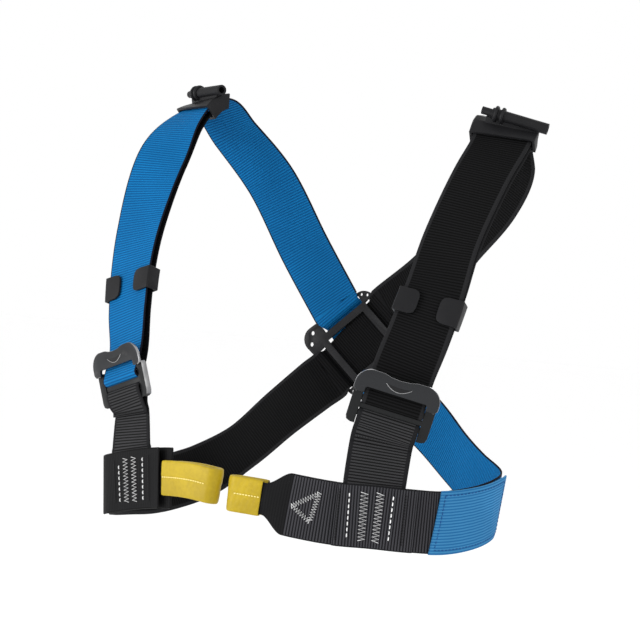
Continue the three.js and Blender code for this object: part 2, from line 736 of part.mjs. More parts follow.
// Risers from the chest band up round the buckles' lower bars, with their ends sewn down in front
SIDES.left.riserAlong = RISER_LEFT_ALONG;
SIDES.right.riserAlong = RISER_RIGHT_ALONG;
const ACROSS_SAMPLES = [-1, -0.67, -0.33, 0, 0.33, 0.67, 1];

// How far the chest band falls away inwards across the width of a riser's foot
function footCup({ girth, mirror, riserAlong }, foot) {
  return ACROSS_SAMPLES.map((share) => {
    const here = girth.at(riserAlong - (mirror * share * WEBBING_WIDTH) / 2, LAYER_PITCH + FOOT_CLEAR);
    return -here.place.sub(foot.place).dot(foot.face);
  });
}

function riser(side) {
  const foot = side.girth.at(side.riserAlong, LAYER_PITCH + FOOT_CLEAR);
  const up = foot.edge.clone().multiplyScalar(-side.mirror);
  const footTop = WEBBING_WIDTH / 2 + RISER_CLEAR;
  const footHeights = [RISER_FOOT_INSET - WEBBING_WIDTH / 2, 0, footTop - 8, footTop];
  const footPlaces = footHeights.map((height) => foot.place.clone().addScaledVector(up, height));
  const climb = side.lowBar.clone().sub(footPlaces[3]);
  climb.addScaledVector(side.across, -climb.dot(side.across)).normalize();
  const outward = new THREE.Vector3().crossVectors(side.across, climb);
  const top = station(side.lowBar.clone().addScaledVector(outward, -WRAP_RADIUS), climb, outward.negate());
  const approach = [2, 1].map((steps) => shifted(top, (-steps * RISER_APPROACH) / 2, 0, 0));
  const inFoot = foot.face.clone().negate();
  const route = new Route(
    [...footPlaces, ...approach.map((s) => s.place), top.place],
    [...footPlaces.map(() => inFoot), ...approach.map((s) => s.face), top.face],
  );
  const flat = footTop - footHeights[0];
  const cup = footCup(side, foot);
  const main = route.between(0, route.length - 2, 0, RISER_STEP);
  const wrap = [top, ...halfTurn(top, WRAP_RADIUS)];
  const fold = route.between(route.length - 2, route.length - RISER_FOLD_LENGTH, 0, RISER_STEP).map((s) => {
    const fromBar = route.length - s.length;
    const gap = blend(fromBar, [0, RISER_FOLD_LENGTH], [2 * WRAP_RADIUS, LAYER_PITCH]);
    return reversed(shifted(s, 0, 0, -gap));
  });
  return sweep([...main, ...wrap, ...fold], (i) => {
    const cupped = i < main.length ? 1 - ease(main[i].length, flat, flat + WEBBING_WIDTH / 2) : 0;
    return cuppedSection(cup.map((offset) => offset * cupped));
  });
}

// The section of a webbing that is not flat across its width
function cuppedSection(offsets) {
  const points = (lift) => offsets.map((out, i) => [out + lift, (ACROSS_SAMPLES[i] * WEBBING_WIDTH) / 2]);
  const half = WEBBING_THICKNESS / 2;
  return { outline: [...points(half), ...points(-half).reverse()] };
}

Object.entries(SIDES).forEach(([name, side]) => addPart(`riser_${name}`, riser(side), 'black'));

// Panels sewn over the risers' feet, and the cover over the left joint
function patch(girth, start, length, lift) {
  const end = start + length;
  const inner = girth.between(start + PATCH_RAMP, end - PATCH_RAMP, lift, PATCH_STEP);
  return band([girthStation(girth, start, lift), ...inner, girthStation(girth, end, lift)]);
}

function girthStation(girth, along, lift) {
  return girth.at(along, lift(along));
}

const PATCH_EDGE_LIFT = LAYER_PITCH * 1.5;
const OVER_FOOT = 2 * (LAYER_PITCH + FOOT_CLEAR);
const PATCH_LEFT_END = PATCH_LEFT_START + PATCH_LEFT_LENGTH;
const leftPatchLift = (along) => Math.min(
  blend(along, [PATCH_LEFT_START, PATCH_LEFT_START + PATCH_RAMP], [PATCH_EDGE_LIFT, OVER_FOOT]),
  blend(along, [PATCH_LEFT_END - PATCH_RAMP, PATCH_LEFT_END], [OVER_FOOT, PATCH_EDGE_LIFT]),
);
addPart('patch_left', patch(leftGirth, PATCH_LEFT_START, PATCH_LEFT_LENGTH, leftPatchLift), 'black');
const OVER_TAPE = (LOOP_THICKNESS + WEBBING_THICKNESS) / 2 + LAYER_GAP;
const rightPatchLift = (along) => rightOuterLift(along) + OVER_TAPE;
addPart('patch_right', patch(rightGirth, PATCH_RIGHT_START, PATCH_RIGHT_LENGTH, rightPatchLift), 'black');
const coverStations = leftGirth.between(COVER_START, COVER_START + COVER_LENGTH, LAYER_PITCH, PATCH_STEP);
addPart('blue_cover', band(coverStations, COVER_WIDTH), 'blue');

// Strap keepers: a back, two sides and two ears in front of the strap and its tail
const HOLD_HALF = WEBBING_WIDTH / 2 + KEEPER_CLEAR;
const HOLD_FRONT = WEBBING_THICKNESS / 2 + KEEPER_CLEAR;
const HOLD_BACK = -TAIL_SPACING - HOLD_FRONT;

function keeper(side) {
  const middle = side.brace.length - KEEPER_ABOVE_BAR;
  const half = KEEPER_HEIGHT / 2;
  const heights = [-1, -0.9, -0.75, -0.45, 0, 0.45, 0.75, 0.9, 1].map((share) => share * half);
  const stations = heights.map((height) => side.brace.at(middle + height));
  const outer = HOLD_HALF + KEEPER_WALL;
  return sweep(stations, (i) => {
    const past = Math.max(0, Math.abs(heights[i]) - (half - KEEPER_CORNER));
    const corner = KEEPER_CORNER - Math.sqrt(KEEPER_CORNER ** 2 - past ** 2);
    const tip = outer - KEEPER_EAR + corner;
    const front = HOLD_FRONT + KEEPER_WALL;
    const back = HOLD_BACK - KEEPER_WALL;
    return { outline: [
      [back, -outer], [front - KEEPER_BEVEL, -outer], [front, -outer + KEEPER_BEVEL], [front, -tip],
      [HOLD_FRONT, -tip], [HOLD_FRONT, -HOLD_HALF], [HOLD_BACK, -HOLD_HALF], [HOLD_BACK, HOLD_HALF],
      [HOLD_FRONT, HOLD_HALF], [HOLD_FRONT, tip],
      [front, tip], [front, outer - KEEPER_BEVEL], [front - KEEPER_BEVEL, outer], [back, outer],
    ] };
  });
}

// Shoulder clips: a collar round the strap and the tail's end, with a tube on a web across it
const CLIP_FRONT = WEBBING_THICKNESS / 2 + CLIP_CLEAR;
const CLIP_BACK = -TAIL_SPACING - CLIP_FRONT;

function clipCollar(side) {
  const stations = side.brace.between(side.crest - 2, side.crest - 2 + CLIP_LENGTH, 0, 4);
  const outer = HOLD_HALF + CLIP_WALL;
  const top = CLIP_FRONT + CLIP_WALL;
  const under = CLIP_BACK - CLIP_WALL;
  const lip = outer - CLIP_LIP;
  return sweep(stations, () => ({ outline: [
    [under, -outer], [top - 1, -outer], [top, -outer + 1], [top, outer - 1], [top - 1, outer],
    [under, outer], [under, lip], [CLIP_BACK, lip], [CLIP_BACK, HOLD_HALF], [CLIP_FRONT, HOLD_HALF],
    [CLIP_FRONT, -HOLD_HALF], [CLIP_BACK, -HOLD_HALF], [CLIP_BACK, -lip], [under, -lip],
  ] }));
}

// In a clip's own frame x is the strap's edge, y its run down the front and z its outward face
function shoulderClip(side) {
  const base = side.brace.at(side.crest + 4);
  const place = (geometry) => toSolid(orient(geometry, base.place, base.edge, base.run, base.face));
  const tubeStart = -CLIP_TUBE_LENGTH / 2 - CLIP_TUBE_SHIFT;
  const tubeEnd = tubeStart + CLIP_TUBE_LENGTH;
  const inTube = (geometry) => {
    geometry.rotateY(-CLIP_TUBE_TILT);
    geometry.translate(0, 0, CLIP_TUBE_HEIGHT);
    return place(geometry);
  };
  const rod = (radius, from, length, sides = 16) => {
    const made = new THREE.CylinderGeometry(radius, radius, length, sides);
    made.rotateZ(Math.PI / 2);
    made.translate(from + length / 2, 0, 0);
    return inTube(made);
  };
  const boreLength = CLIP_TUBE_LENGTH - CLIP_BORE_FLOOR + CLIP_OVERLAP;
  const webTop = CLIP_TUBE_HEIGHT - CLIP_TUBE_RADIUS / 2;
  const webFoot = CLIP_FRONT + CLIP_WALL - CLIP_WEB_SINK;
  const half = CLIP_WEB_HALF;
  const webOutline = [[-half, webFoot], [half, webFoot], [half - 1, webTop], [1 - half, webTop]];
  const web = slab(ringShape(webOutline), CLIP_TUBE_LENGTH - 2 * CLIP_OVERLAP);
  web.applyMatrix4(new THREE.Matrix4().makeBasis(
    new THREE.Vector3(0, 1, 0),
    new THREE.Vector3(0, 0, 1),
    new THREE.Vector3(1, 0, 0),
  ));
  web.translate(-CLIP_TUBE_SHIFT / 2, 0, 0);
  const loops = CLIP_LOOPS.map((x) => {
    const loop = new THREE.TorusGeometry(CLIP_TUBE_RADIUS + CLIP_LOOP_CLEAR, CLIP_LOOP_RADIUS, 8, 16);
    loop.rotateY(Math.PI / 2);
    loop.translate(x, 0, 0);
    return inTube(loop);
  });
  return [
    toSolid(clipCollar(side)),
    rod(CLIP_TUBE_RADIUS, tubeStart, CLIP_TUBE_LENGTH),
    rod(CLIP_STUB_RADIUS, tubeEnd - CLIP_OVERLAP, CLIP_STUB_LENGTH, 12),
    place(web),
    ...loops,
  ].reduce((all, solid) => all.add(solid))
    .subtract(rod(CLIP_TUBE_BORE, tubeStart - CLIP_OVERLAP, boreLength, 12));
}

Object.entries(SIDES).forEach(([name, side]) => {
  addPart(`keeper_${name}`, keeper(side), 'plastic');
  addPart(`shoulder_clip_${name}`, toGeometry(shoulderClip(side)), 'plastic');
});

export default harness;
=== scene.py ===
"""Climbing chest harness in its worn form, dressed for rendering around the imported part."""

import logging
import math
from dataclasses import dataclass, field, replace
from enum import Enum
from functools import partial
from typing import Callable, Iterable, Optional, Sequence

import bmesh
import bpy
import numpy as np
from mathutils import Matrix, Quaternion, Vector


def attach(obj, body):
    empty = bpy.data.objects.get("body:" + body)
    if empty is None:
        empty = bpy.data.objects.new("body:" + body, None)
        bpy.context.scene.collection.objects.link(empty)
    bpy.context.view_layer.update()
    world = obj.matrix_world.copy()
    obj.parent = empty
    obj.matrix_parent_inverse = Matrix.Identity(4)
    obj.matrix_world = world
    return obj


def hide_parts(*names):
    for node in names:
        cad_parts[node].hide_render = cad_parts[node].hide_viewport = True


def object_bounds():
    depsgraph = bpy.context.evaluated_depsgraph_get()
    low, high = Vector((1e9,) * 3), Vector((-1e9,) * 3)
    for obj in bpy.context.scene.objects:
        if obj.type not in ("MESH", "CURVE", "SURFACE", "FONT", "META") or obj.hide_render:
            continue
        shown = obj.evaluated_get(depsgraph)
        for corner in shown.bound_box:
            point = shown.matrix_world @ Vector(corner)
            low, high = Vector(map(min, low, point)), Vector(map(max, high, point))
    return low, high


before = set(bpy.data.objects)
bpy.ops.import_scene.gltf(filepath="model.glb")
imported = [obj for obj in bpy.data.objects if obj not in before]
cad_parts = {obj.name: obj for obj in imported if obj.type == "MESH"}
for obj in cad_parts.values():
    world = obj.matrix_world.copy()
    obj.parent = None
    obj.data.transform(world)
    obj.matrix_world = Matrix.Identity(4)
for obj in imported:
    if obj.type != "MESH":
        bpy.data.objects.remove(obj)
CAD_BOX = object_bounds()

LOG = logging.getLogger("harness")
MM = 0.001
ROOT = "root"
WEAVE_UV = "weave"

CHEST_HALF_WIDTH = 160.0
CHEST_HALF_DEPTH = 103.0
CHEST_AHEAD_OF_SHOULDERS = 22.0
SHOULDER_DROP = 295.0
WEBBING_WIDTH = 45.0
WEBBING_THICKNESS = 1.6
LAYER_GAP = 0.35
LAYER_PITCH = WEBBING_THICKNESS + LAYER_GAP
FINE_STEP = 0.42
RIB_PITCH = 2.1
RIB_HEIGHT = 0.22
SMOOTH_RIB_HEIGHT = 0.04
FOOT_CLEAR = 0.15
NEAR_SHARE = 1e-4
TURN_STEPS = 28


class Slot(Enum):
    """Material slots of the record."""

    BLUE = "webbing_blue"
    BLACK = "webbing_black"
    YELLOW = "sleeve_yellow"
    MOULDED = "moulded_black"
    METAL = "buckle_metal"


@dataclass(frozen=True)
class Row:
    """One row of a route table: shares of the chest's sizes, and the outward face in degrees."""

    across: float
    back: float
    height: float
    turn: float
    tilt: float

    def place(self) -> Vector:
        """The row's place in millimetres."""
        across, back = self.across * CHEST_HALF_WIDTH, self.back * CHEST_HALF_DEPTH
        return Vector((across, back - CHEST_AHEAD_OF_SHOULDERS, self.height * SHOULDER_DROP))

    def face(self) -> Vector:
        """The row's outward direction.

        Returns:
            The direction, of length 1.
        """
        turn, tilt = math.radians(self.turn), math.radians(self.tilt)
        flat = math.cos(tilt)
        return Vector((flat * math.sin(turn), -flat * math.cos(turn), math.sin(tilt)))


def rows(*values: Sequence[float]) -> list[Row]:
    """Rows of a table from plain tuples."""
    return [Row(*value) for value in values]


LEFT_GIRTH = rows(
    (0.01, -1.01, -0.986, 0, 0),
    (0.17, -0.985, -0.99, 10, 0),
    (0.345, -0.94, -1.0, 21, 0),
    (0.5, -0.86, -1.007, 31, 0),
    (0.65, -0.75, -1.007, 42, 0),
    (0.78, -0.605, -1.01, 52, 0),
    (0.9, -0.41, -1.01, 64, 0),
    (0.99, -0.175, -0.994, 76, -4),
    (1.018, 0.04, -0.973, 90, -8),
    (0.97, 0.26, -0.955, 115, -8),
    (0.81, 0.45, -0.92, 136, -6),
    (0.65, 0.62, -0.872, 150, 0),
    (0.43, 0.8, -0.793, 163, 0),
)
RIGHT_GIRTH = rows(
    (-0.055, -1.01, -0.974, 0, 0),
    (-0.19, -0.985, -0.968, -8, 0),
    (-0.36, -0.925, -0.972, -15, 0),
    (-0.5, -0.86, -0.983, -18, 0),
    (-0.65, -0.785, -1.0, -20, 0),
    (-0.76, -0.7, -1.015, -27, 0),
    (-0.803, -0.53, -1.022, -54, 0),
    (-0.828, -0.25, -1.026, -80, 0),
    (-0.835, 0.05, -1.028, -93, -4),
    (-0.825, 0.32, -1.018, -112, -12),
    (-0.74, 0.55, -0.987, -140, -24),
    (-0.58, 0.73, -0.912, -172, -28),
    (-0.41, 0.84, -0.81, -178, -16),
)
RIGHT_BRACE = rows(
    (-0.37, 0.875, -0.353, 185, 5),
    (-0.54, 0.7, -0.172, 190, 20),
    (-0.685, 0.465, -0.054, 194, 41),
    (-0.755, 0.235, 0.018, -90, 79),
    (-0.825, 0.02, -0.04, -18, 52),
    (-0.85, -0.195, -0.155, 3, 22),
    (-0.835, -0.435, -0.332, -9, 12),
    (-0.797, -0.59, -0.458, -15, 8),
    (-0.755, -0.69, -0.56, -17, 0),
    (-0.712, -0.765, -0.655, -19, -12),
    (-0.696, -0.855, -0.73, -20, -14),
)
LEFT_BRACE = rows(
    (0.37, 0.835, -0.4, 175, 5),
    (0.55, 0.7, -0.3, 165, 15),
    (0.752, 0.53, -0.19, 160, 35),
    (0.885, 0.34, -0.085, 137, 47),
    (0.89, 0.175, -0.022, 90, 77),
    (0.9, 0.02, -0.07, 14, 48),
    (0.88, -0.2, -0.163, 6, 24),
    (0.834, -0.44, -0.325, 3, 12),
    (0.82, -0.59, -0.45, 8, 8),
    (0.79, -0.69, -0.56, 14, 0),
    (0.75, -0.755, -0.66, 22, -14),
    (0.735, -0.815, -0.735, 24, -14),
)


@dataclass(frozen=True)
class Station:
    """One place on a strap, in millimetres: its run, width direction, outward face and width."""

    place: Vector
    run: Vector
    edge: Vector
    face: Vector
    width: float = WEBBING_WIDTH
    thickness: float = WEBBING_THICKNESS
    length: float = 0.0
    cup: Optional[tuple[float, ...]] = None
    finish: int = 0
    rib: float = 1.0

    def shifted(self, along: float = 0.0, sideways: float = 0.0, outward: float = 0.0) -> "Station":
        """The same station moved along its own run, edge and face."""
        move = self.run * along + self.edge * sideways + self.face * outward
        return replace(self, place=self.place + move)

    def reversed(self) -> "Station":
        """The station read the other way, with its face on the other side."""
        return replace(self, run=-self.run, face=-self.face)

    def forward(self) -> "Station":
        """The station read the other way, with its face kept."""
        return replace(self, run=-self.run, edge=-self.edge)

    def point(self, sideways: float, outward: float) -> Vector:
        """A point beside the station, in metres."""
        return (self.place + self.edge * sideways + self.face * outward) * MM


def station(place: Vector, run: Vector, face: Vector, **extra: float) -> Station:
    """A station whose edge and face are square to its run.

    Args:
        place: where it is, in millimetres.
        run: the way the strap runs.
        face: roughly the outward direction.
        **extra: other fields of the station.

    Returns:
        The station.
    """
    along = run.normalized()
    edge = along.cross(face).normalized()
    return Station(place.copy(), along, edge, edge.cross(along).normalized(), **extra)


def ease(value: float, start: float, end: float) -> float:
    """A smooth step from 0 at start to 1 at end."""
    share = min(1.0, max(0.0, (value - start) / (end - start)))
    return share * share * (3 - 2 * share)


def blend(value: float, span: tuple[float, float], ends: tuple[float, float]) -> float:
    """A value that goes smoothly from one size to another over a span."""
    return ends[0] + (ends[1] - ends[0]) * ease(value, *span)


def spread(start: float, end: float, steps: int) -> list[float]:
    """Evenly spread values from start to end."""
    return [start + (end - start) * i / steps for i in range(steps + 1)]


class SmoothCurve:
    """A centripetal Catmull-Rom curve through points, read from 0 to 1."""

    def __init__(self, points: Sequence[Vector]) -> None:
        """Keeps the points, with one more laid out past each end.

        Args:
            points: the points that it runs through.
        """
        inner = [np.array(p) for p in points]
        self.points = [2 * inner[0] - inner[1], *inner, 2 * inner[-1] - inner[-2]]
        self.spans = len(inner) - 1

    def at(self, share: float) -> np.ndarray:
        """The curve's point at a share of its spans.

        Args:
            share: from 0 at the first point to 1 at the last.

        Returns:
            The point.
        """
        place = min(max(share, 0.0), 1.0) * self.spans
        i = min(int(place), self.spans - 1)
        w = place - i
        p0, p1, p2, p3 = self.points[i:i + 4]
        dt0, dt1, dt2 = (float(np.dot(d, d)) ** 0.25 for d in (p1 - p0, p2 - p1, p3 - p2))
        dt1 = 1.0 if dt1 < NEAR_SHARE else dt1
        dt0, dt2 = (dt1 if step < NEAR_SHARE else step for step in (dt0, dt2))
        t1 = ((p1 - p0) / dt0 - (p2 - p0) / (dt0 + dt1) + (p2 - p1) / dt1) * dt1
        t2 = ((p2 - p1) / dt1 - (p3 - p1) / (dt1 + dt2) + (p3 - p2) / dt2) * dt1
        c2 = -3 * p1 + 3 * p2 - 2 * t1 - t2
        c3 = 2 * p1 - 2 * p2 + t1 + t2
        return p1 + t1 * w + c2 * w * w + c3 * w * w * w


Lift = Callable[[float], float]


class Route:
    """A smooth route through places and faces, read by the length run from its start."""

    SAMPLES = 400

    def __init__(self, places: Sequence[Vector], faces: Sequence[Vector]) -> None:
        """Makes the two curves and measures the first.

        Args:
            places: points that the route runs through, in millimetres.
            faces: its outward direction at each.
        """
        self.places = SmoothCurve(places)
        self.faces = SmoothCurve(faces)
        self.shares = np.linspace(0, 1, self.SAMPLES + 1)
        samples = np.array([self.places.at(t) for t in self.shares])
        steps = np.linalg.norm(np.diff(samples, axis=0), axis=1)
        self.lengths = np.concatenate([[0.0], np.cumsum(steps)])
        self.length = float(self.lengths[-1])

    def at(self, length: float, lift: float = 0.0) -> Station:
        """The station at a length, moved outwards by lift.

        Args:
            length: millimetres from the route's start.
            lift: millimetres outwards.

        Returns:
            The station.
        """
        share = float(np.interp(length, self.lengths, self.shares))
        before, after = self.places.at(share - NEAR_SHARE), self.places.at(share + NEAR_SHARE)
        found = station(
            Vector(self.places.at(share)), Vector(after - before), Vector(self.faces.at(share)),
            length=length,
        )
        return found.shifted(outward=lift)

    def between(self, start: float, end: float, lift: Optional[Lift] = None,
                step: float = FINE_STEP) -> list[Station]:
        """Stations from one length to another, no further apart than a step, lifted off the route."""
        count = max(2, math.ceil(abs(end - start) / step))
        return [self.at(x, lift(x) if lift else 0.0) for x in spread(start, end, count)]


def half_turn(last: Station, radius: float, steps: int = TURN_STEPS) -> list[Station]:
    """A half turn round a bar behind the last station, away from its face.

    Args:
        last: the station before the turn.
        radius: millimetres from the bar's middle to the strap's middle.
        steps: how many stations to make.

    Returns:
        The turn's stations.
    """
    centre = last.place - last.face * radius
    made = []
    for i in range(steps):
        angle = math.pi * (i + 1) / steps
        outward = last.face * math.cos(angle) + last.run * math.sin(angle)
        run = last.run * math.cos(angle) - last.face * math.sin(angle)
        made.append(replace(last, place=centre + outward * radius, run=run, face=outward))
    return made


@dataclass(frozen=True)
class CrossingPlate:
    """Sizes of the plate on the back and of the straps' way through it."""

    centre: Vector = field(default_factory=lambda: Row(-0.031, 0.942, -0.597, 0, 0).place())
    angle: float = 49.0
    thickness: float = 2.2
    window_half: float = 19.5
    inner_bar: float = 6.0
    slot_width: float = 7.0
    webbing_in_slot: float = 40.0
    bend_radius: float = 1.5
    bend_steps: int = 5
    approach: float = 5.0
    slot_entry: float = 1.1
    lean: float = 62.0

    @property
    def outside_bar(self) -> float:
        """Height of a strap's middle off the plate's middle where it lies on a bar."""
        return self.thickness / 2 + LAYER_GAP + WEBBING_THICKNESS / 2

    def place(self, x: float, y: float, z: float) -> Vector:
        """A point in the plate: x towards the wearer's right, y up, z backwards."""
        return self.centre + Vector((-x, z, y))

    def stations(self, side: int, height: float, step: float = FINE_STEP) -> list[Station]:
        """The strap's way over the outer bars on the body side and behind the inner bars.

        Args:
            side: 1 for the strap that climbs to the wearer's right, -1 for the other.
            height: the strap's height behind the inner bars.
            step: the longest step between stations.

        Returns:
            The stations.
        """
        angle = math.radians(self.angle)
        dx, dy = side * math.cos(angle), math.sin(angle)
        slot_far = self.window_half + self.inner_bar + self.slot_width
        approach, low = slot_far + self.approach, slot_far - self.slot_entry
        outer = -self.outside_bar
        run = (height - outer) / math.tan(math.radians(self.lean))
        corners = [(-approach, outer), (-low, outer), (-low + run, height),
                   (low - run, height), (low, outer), (approach, outer)]
        path = resampled(filleted(corners, self.bend_radius, self.bend_steps), step)
        made = []
        for i, (s, z) in enumerate(path):
            s0, z0 = path[max(0, i - 1)]
            s1, z1 = path[min(len(path) - 1, i + 1)]
            along = Vector((s1 - s0, z1 - z0)).normalized()
            way = Vector((-dx * along.x, along.y, dy * along.x))
            width = blend(abs(s), (low - 2, approach), (self.webbing_in_slot, WEBBING_WIDTH))
            made.append(station(self.place(s * dx, s * dy, z), way, Vector((0, 1, 0)), width=width))
        return made


Point2 = tuple[float, float]


def filleted(corners: Sequence[Point2], radius: float, steps: int) -> list[Point2]:
    """A path of straight stretches with its inner corners rounded.

    Args:
        corners: the path's corners.
        radius: the rounding at each inner one.
        steps: how many stretches each rounding has.

    Returns:
        The path's points.
    """
    path = [corners[0]]
    for before, here, after in zip(corners, corners[1:], corners[2:]):
        at, back, on = Vector(here), Vector(before), Vector(after)
        to_back, to_on = (back - at).normalized(), (on - at).normalized()
        half = math.acos(max(-1.0, min(1.0, to_back.dot(to_on)))) / 2
        reach = radius / math.tan(half)
        start, end = at + to_back * reach, at + to_on * reach
        for k in range(steps + 1):
            t = k / steps
            path.append(tuple(start.lerp(at, t).lerp(at.lerp(end, t), t)))
    return [*path, corners[-1]]


def resampled(path: Sequence[Point2], step: float) -> list[Point2]:
    """The same path with points no further apart than a step.

    Args:
        path: the path's points.
        step: the longest distance between two of them.

    Returns:
        The points.
    """
    made = [path[0]]
    for (x0, y0), (x1, y1) in zip(path, path[1:]):
        count = max(1, math.ceil(math.hypot(x1 - x0, y1 - y0) / step))
        made += [(x0 + (x1 - x0) * k / count, y0 + (y1 - y0) * k / count) for k in range(1, count + 1)]
    return made


def route_through(table: Sequence[Row], lead: Sequence[Station] = (),
                  tail: Sequence[Station] = ()) -> Route:
    """A route through stations, a table's rows and more stations.

    Args:
        table: the rows.
        lead: stations before them.
        tail: stations after them.

    Returns:
        The route.
    """
    places = [*[s.place for s in lead], *[r.place() for r in table], *[s.place for s in tail]]
    faces = [*[s.face for s in lead], *[r.face() for r in table], *[s.face for s in tail]]
    return Route(places, faces)


PLATE = CrossingPlate()
BLACK_CROSS = PLATE.stations(-1, PLATE.outside_bar)
BLUE_CROSS = PLATE.stations(1, PLATE.outside_bar + LAYER_PITCH)


@dataclass
class Side:
    """One side of the harness: its girth and brace, and where its buckle sits."""

    name: str
    mirror: int
    girth: Route
    brace: Route
    bar_radius: float = 2.2
    bar_pitch: float = 11.5
    buckle_fit: float = 0.3
    buckle_tilt: float = 27.0

    def __post_init__(self) -> None:
        """Works out the crest and the buckle's own directions."""
        heights = [s.place.z for s in self.brace.between(0, self.brace.length, step=2)]
        self.crest = self.brace.length * int(np.argmax(heights)) / (len(heights) - 1)
        self.wrap = self.bar_radius + self.buckle_fit + WEBBING_THICKNESS / 2
        end = self.brace.at(self.brace.length)
        tilt = math.radians(self.buckle_tilt)
        self.bar = end.place - end.face * self.wrap
        self.up = -end.run * math.cos(tilt) + end.face * math.sin(tilt)
        self.out = end.face * math.cos(tilt) + end.run * math.sin(tilt)
        self.across = self.up.cross(self.out)
        self.low_bar = self.bar - self.up * self.bar_pitch


LEFT = Side("left", 1, route_through(LEFT_GIRTH, tail=BLUE_CROSS[:1]),
            route_through(LEFT_BRACE, lead=BLACK_CROSS[-1:]))
RIGHT = Side("right", -1, route_through(RIGHT_GIRTH, tail=BLACK_CROSS[:1]),
             route_through(RIGHT_BRACE, lead=BLUE_CROSS[-1:]))


class MeshMaker:
    """Collects points, faces and weave coordinates, and makes one mesh object of them."""

    def __init__(self) -> None:
        """Starts with nothing."""
        self.points: list[Vector] = []
        self.faces: list[tuple[int, ...]] = []
        self.weave: list[Point2] = []
        self.finish_of: list[int] = []
        self.finish = 0

    def face(self, corners: Sequence[int]) -> None:
        """Adds one face with the finish that is set."""
        self.faces.append(tuple(corners))
        self.finish_of.append(self.finish)

    def ring(self, points: Sequence[Vector], weave: Optional[Sequence[Point2]] = None) -> list[int]:
        """Adds points.

        Args:
            points: the points, in metres.
            weave: their weave coordinates.

        Returns:
            The points' numbers.
        """
        first = len(self.points)
        self.points += points
        self.weave += weave if weave else [(0.0, 0.0)] * len(points)
        return list(range(first, len(self.points)))

    def bridge(self, a: Sequence[int], b: Sequence[int]) -> None:
        """Joins two rings of the same size with quads.

        Args:
            a: the first ring's point numbers.
            b: the second ring's.
        """
        for k in range(len(a)):
            n = (k + 1) % len(a)
            self.face((a[k], a[n], b[n], b[k]))

    def grow(self, last: Optional[Sequence[int]], ring: Sequence[int]) -> Sequence[int]:
        """Joins a ring to a tube's last one, or closes the tube's start with it.

        Args:
            last: the tube's last ring, or None at its start.
            ring: the new ring.

        Returns:
            The new ring.
        """
        if last is None:
            self.cap(ring, True)
        else:
            self.bridge(last, ring)
        return ring

    def cap(self, ring: Sequence[int], first: bool) -> None:
        """Closes the end of a tube."""
        self.face(tuple(reversed(ring)) if first else ring)

    def make(self, name: str, slot: Slot, *materials: bpy.types.Material,
             replaces: Iterable[str] = ()) -> bpy.types.Object:
        """Makes the object, and fastens it to the part.

        Args:
            name: the object's name.
            slot: a material slot; not used.
            *materials: its finishes, in the order of their numbers.
            replaces: CAD nodes that it stands for.

        Returns:
            The new object.
        """
        mesh = bpy.data.meshes.new(name)
        mesh.from_pydata([tuple(p) for p in self.points], [], self.faces)
        uv = mesh.uv_layers.new(name=WEAVE_UV)
        corners = np.zeros(len(mesh.loops), np.int32)
        mesh.loops.foreach_get("vertex_index", corners)
        uv.data.foreach_set("uv", np.array(self.weave, np.float32)[corners].ravel())
        for material in materials:
            mesh.materials.append(material)
        mesh.polygons.foreach_set("material_index", np.array(self.finish_of, np.int32))
        mesh.polygons.foreach_set("use_smooth", np.full(len(mesh.polygons), True))
        mesh.update()
        return fasten(bpy.data.objects.new(name, mesh), replaces)


def link(obj: bpy.types.Object) -> None:
    """Puts an object in the scene."""
    bpy.context.scene.collection.objects.link(obj)


def fasten(obj: bpy.types.Object, replaces: Iterable[str] = ()) -> bpy.types.Object:
    """Links an object, and makes it ride the part.

    Args:
        obj: the object.
        replaces: CAD nodes that it stands for.

    Returns:
        The object.
    """
    link(obj)
    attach(obj, ROOT)
    for node in replaces:
        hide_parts(node)
    LOG.info("made %s with %d points", obj.name, len(obj.data.vertices))
    return obj


EDGE_ROUND = 0.8
SECTION_SHARES = (-1.0, -0.985, -0.93, -0.86, -0.5, 0.0, 0.5, 0.86, 0.93, 0.985, 1.0)
CUP_SHARES = (-1.0, -0.67, -0.33, 0.0, 0.33, 0.67, 1.0)


def round_edge(side: float, half: float, thickness: float) -> float:
    """Half the thickness of webbing with round selvedges, at a place off its middle line."""
    past = max(0.0, abs(side) - (half - EDGE_ROUND)) / EDGE_ROUND
    return thickness / 2 * math.sqrt(max(0.0, 1 - past * past))


class Webbing:
    """Woven webbing swept through stations, with ribs across it and rounded selvedges."""

    RIB_FADE = (0.86, 0.95)

    def __init__(self, rib_height: float = RIB_HEIGHT) -> None:
        """Sets how high its ribs stand."""
        self.rib_height = rib_height

    def ring(self, s: Station, along: float) -> tuple[list[Vector], list[Point2]]:
        """One section of the webbing.

        Args:
            s: the station.
            along: millimetres run so far.

        Returns:
            The section's points and their weave coordinates.
        """
        half = s.width / 2
        wave = math.cos(2 * math.pi * along / RIB_PITCH) * self.rib_height * s.rib / 2
        points, weave = [], []
        for sign, order in ((1, SECTION_SHARES), (-1, SECTION_SHARES[-2:0:-1])):
            for share in order:
                body = round_edge(share * half, half, s.thickness)
                rib = wave * (1 - ease(abs(share), *self.RIB_FADE))
                cup = float(np.interp(share, CUP_SHARES, s.cup)) if s.cup else 0.0
                points.append(s.point(share * half, cup + sign * (body + rib - self.rib_height / 2)))
                weave.append((share * half * MM, along * MM))
        return points, weave

    def sweep(self, stations: Sequence[Station]) -> MeshMaker:
        """The webbing's surface.

        Args:
            stations: the stations that it runs through.

        Returns:
            The surface.
        """
        maker = MeshMaker()
        along, last, before = 0.0, None, stations[0].place
        for s in stations:
            along += (s.place - before).length
            before = s.place
            maker.finish = s.finish
            last = maker.grow(last, maker.ring(*self.ring(s, along)))
        maker.cap(last, False)
        return maker


THREAD_TAPER = 0.6
THREAD_SIDES = 6
ZIGZAG_SIDES = 5


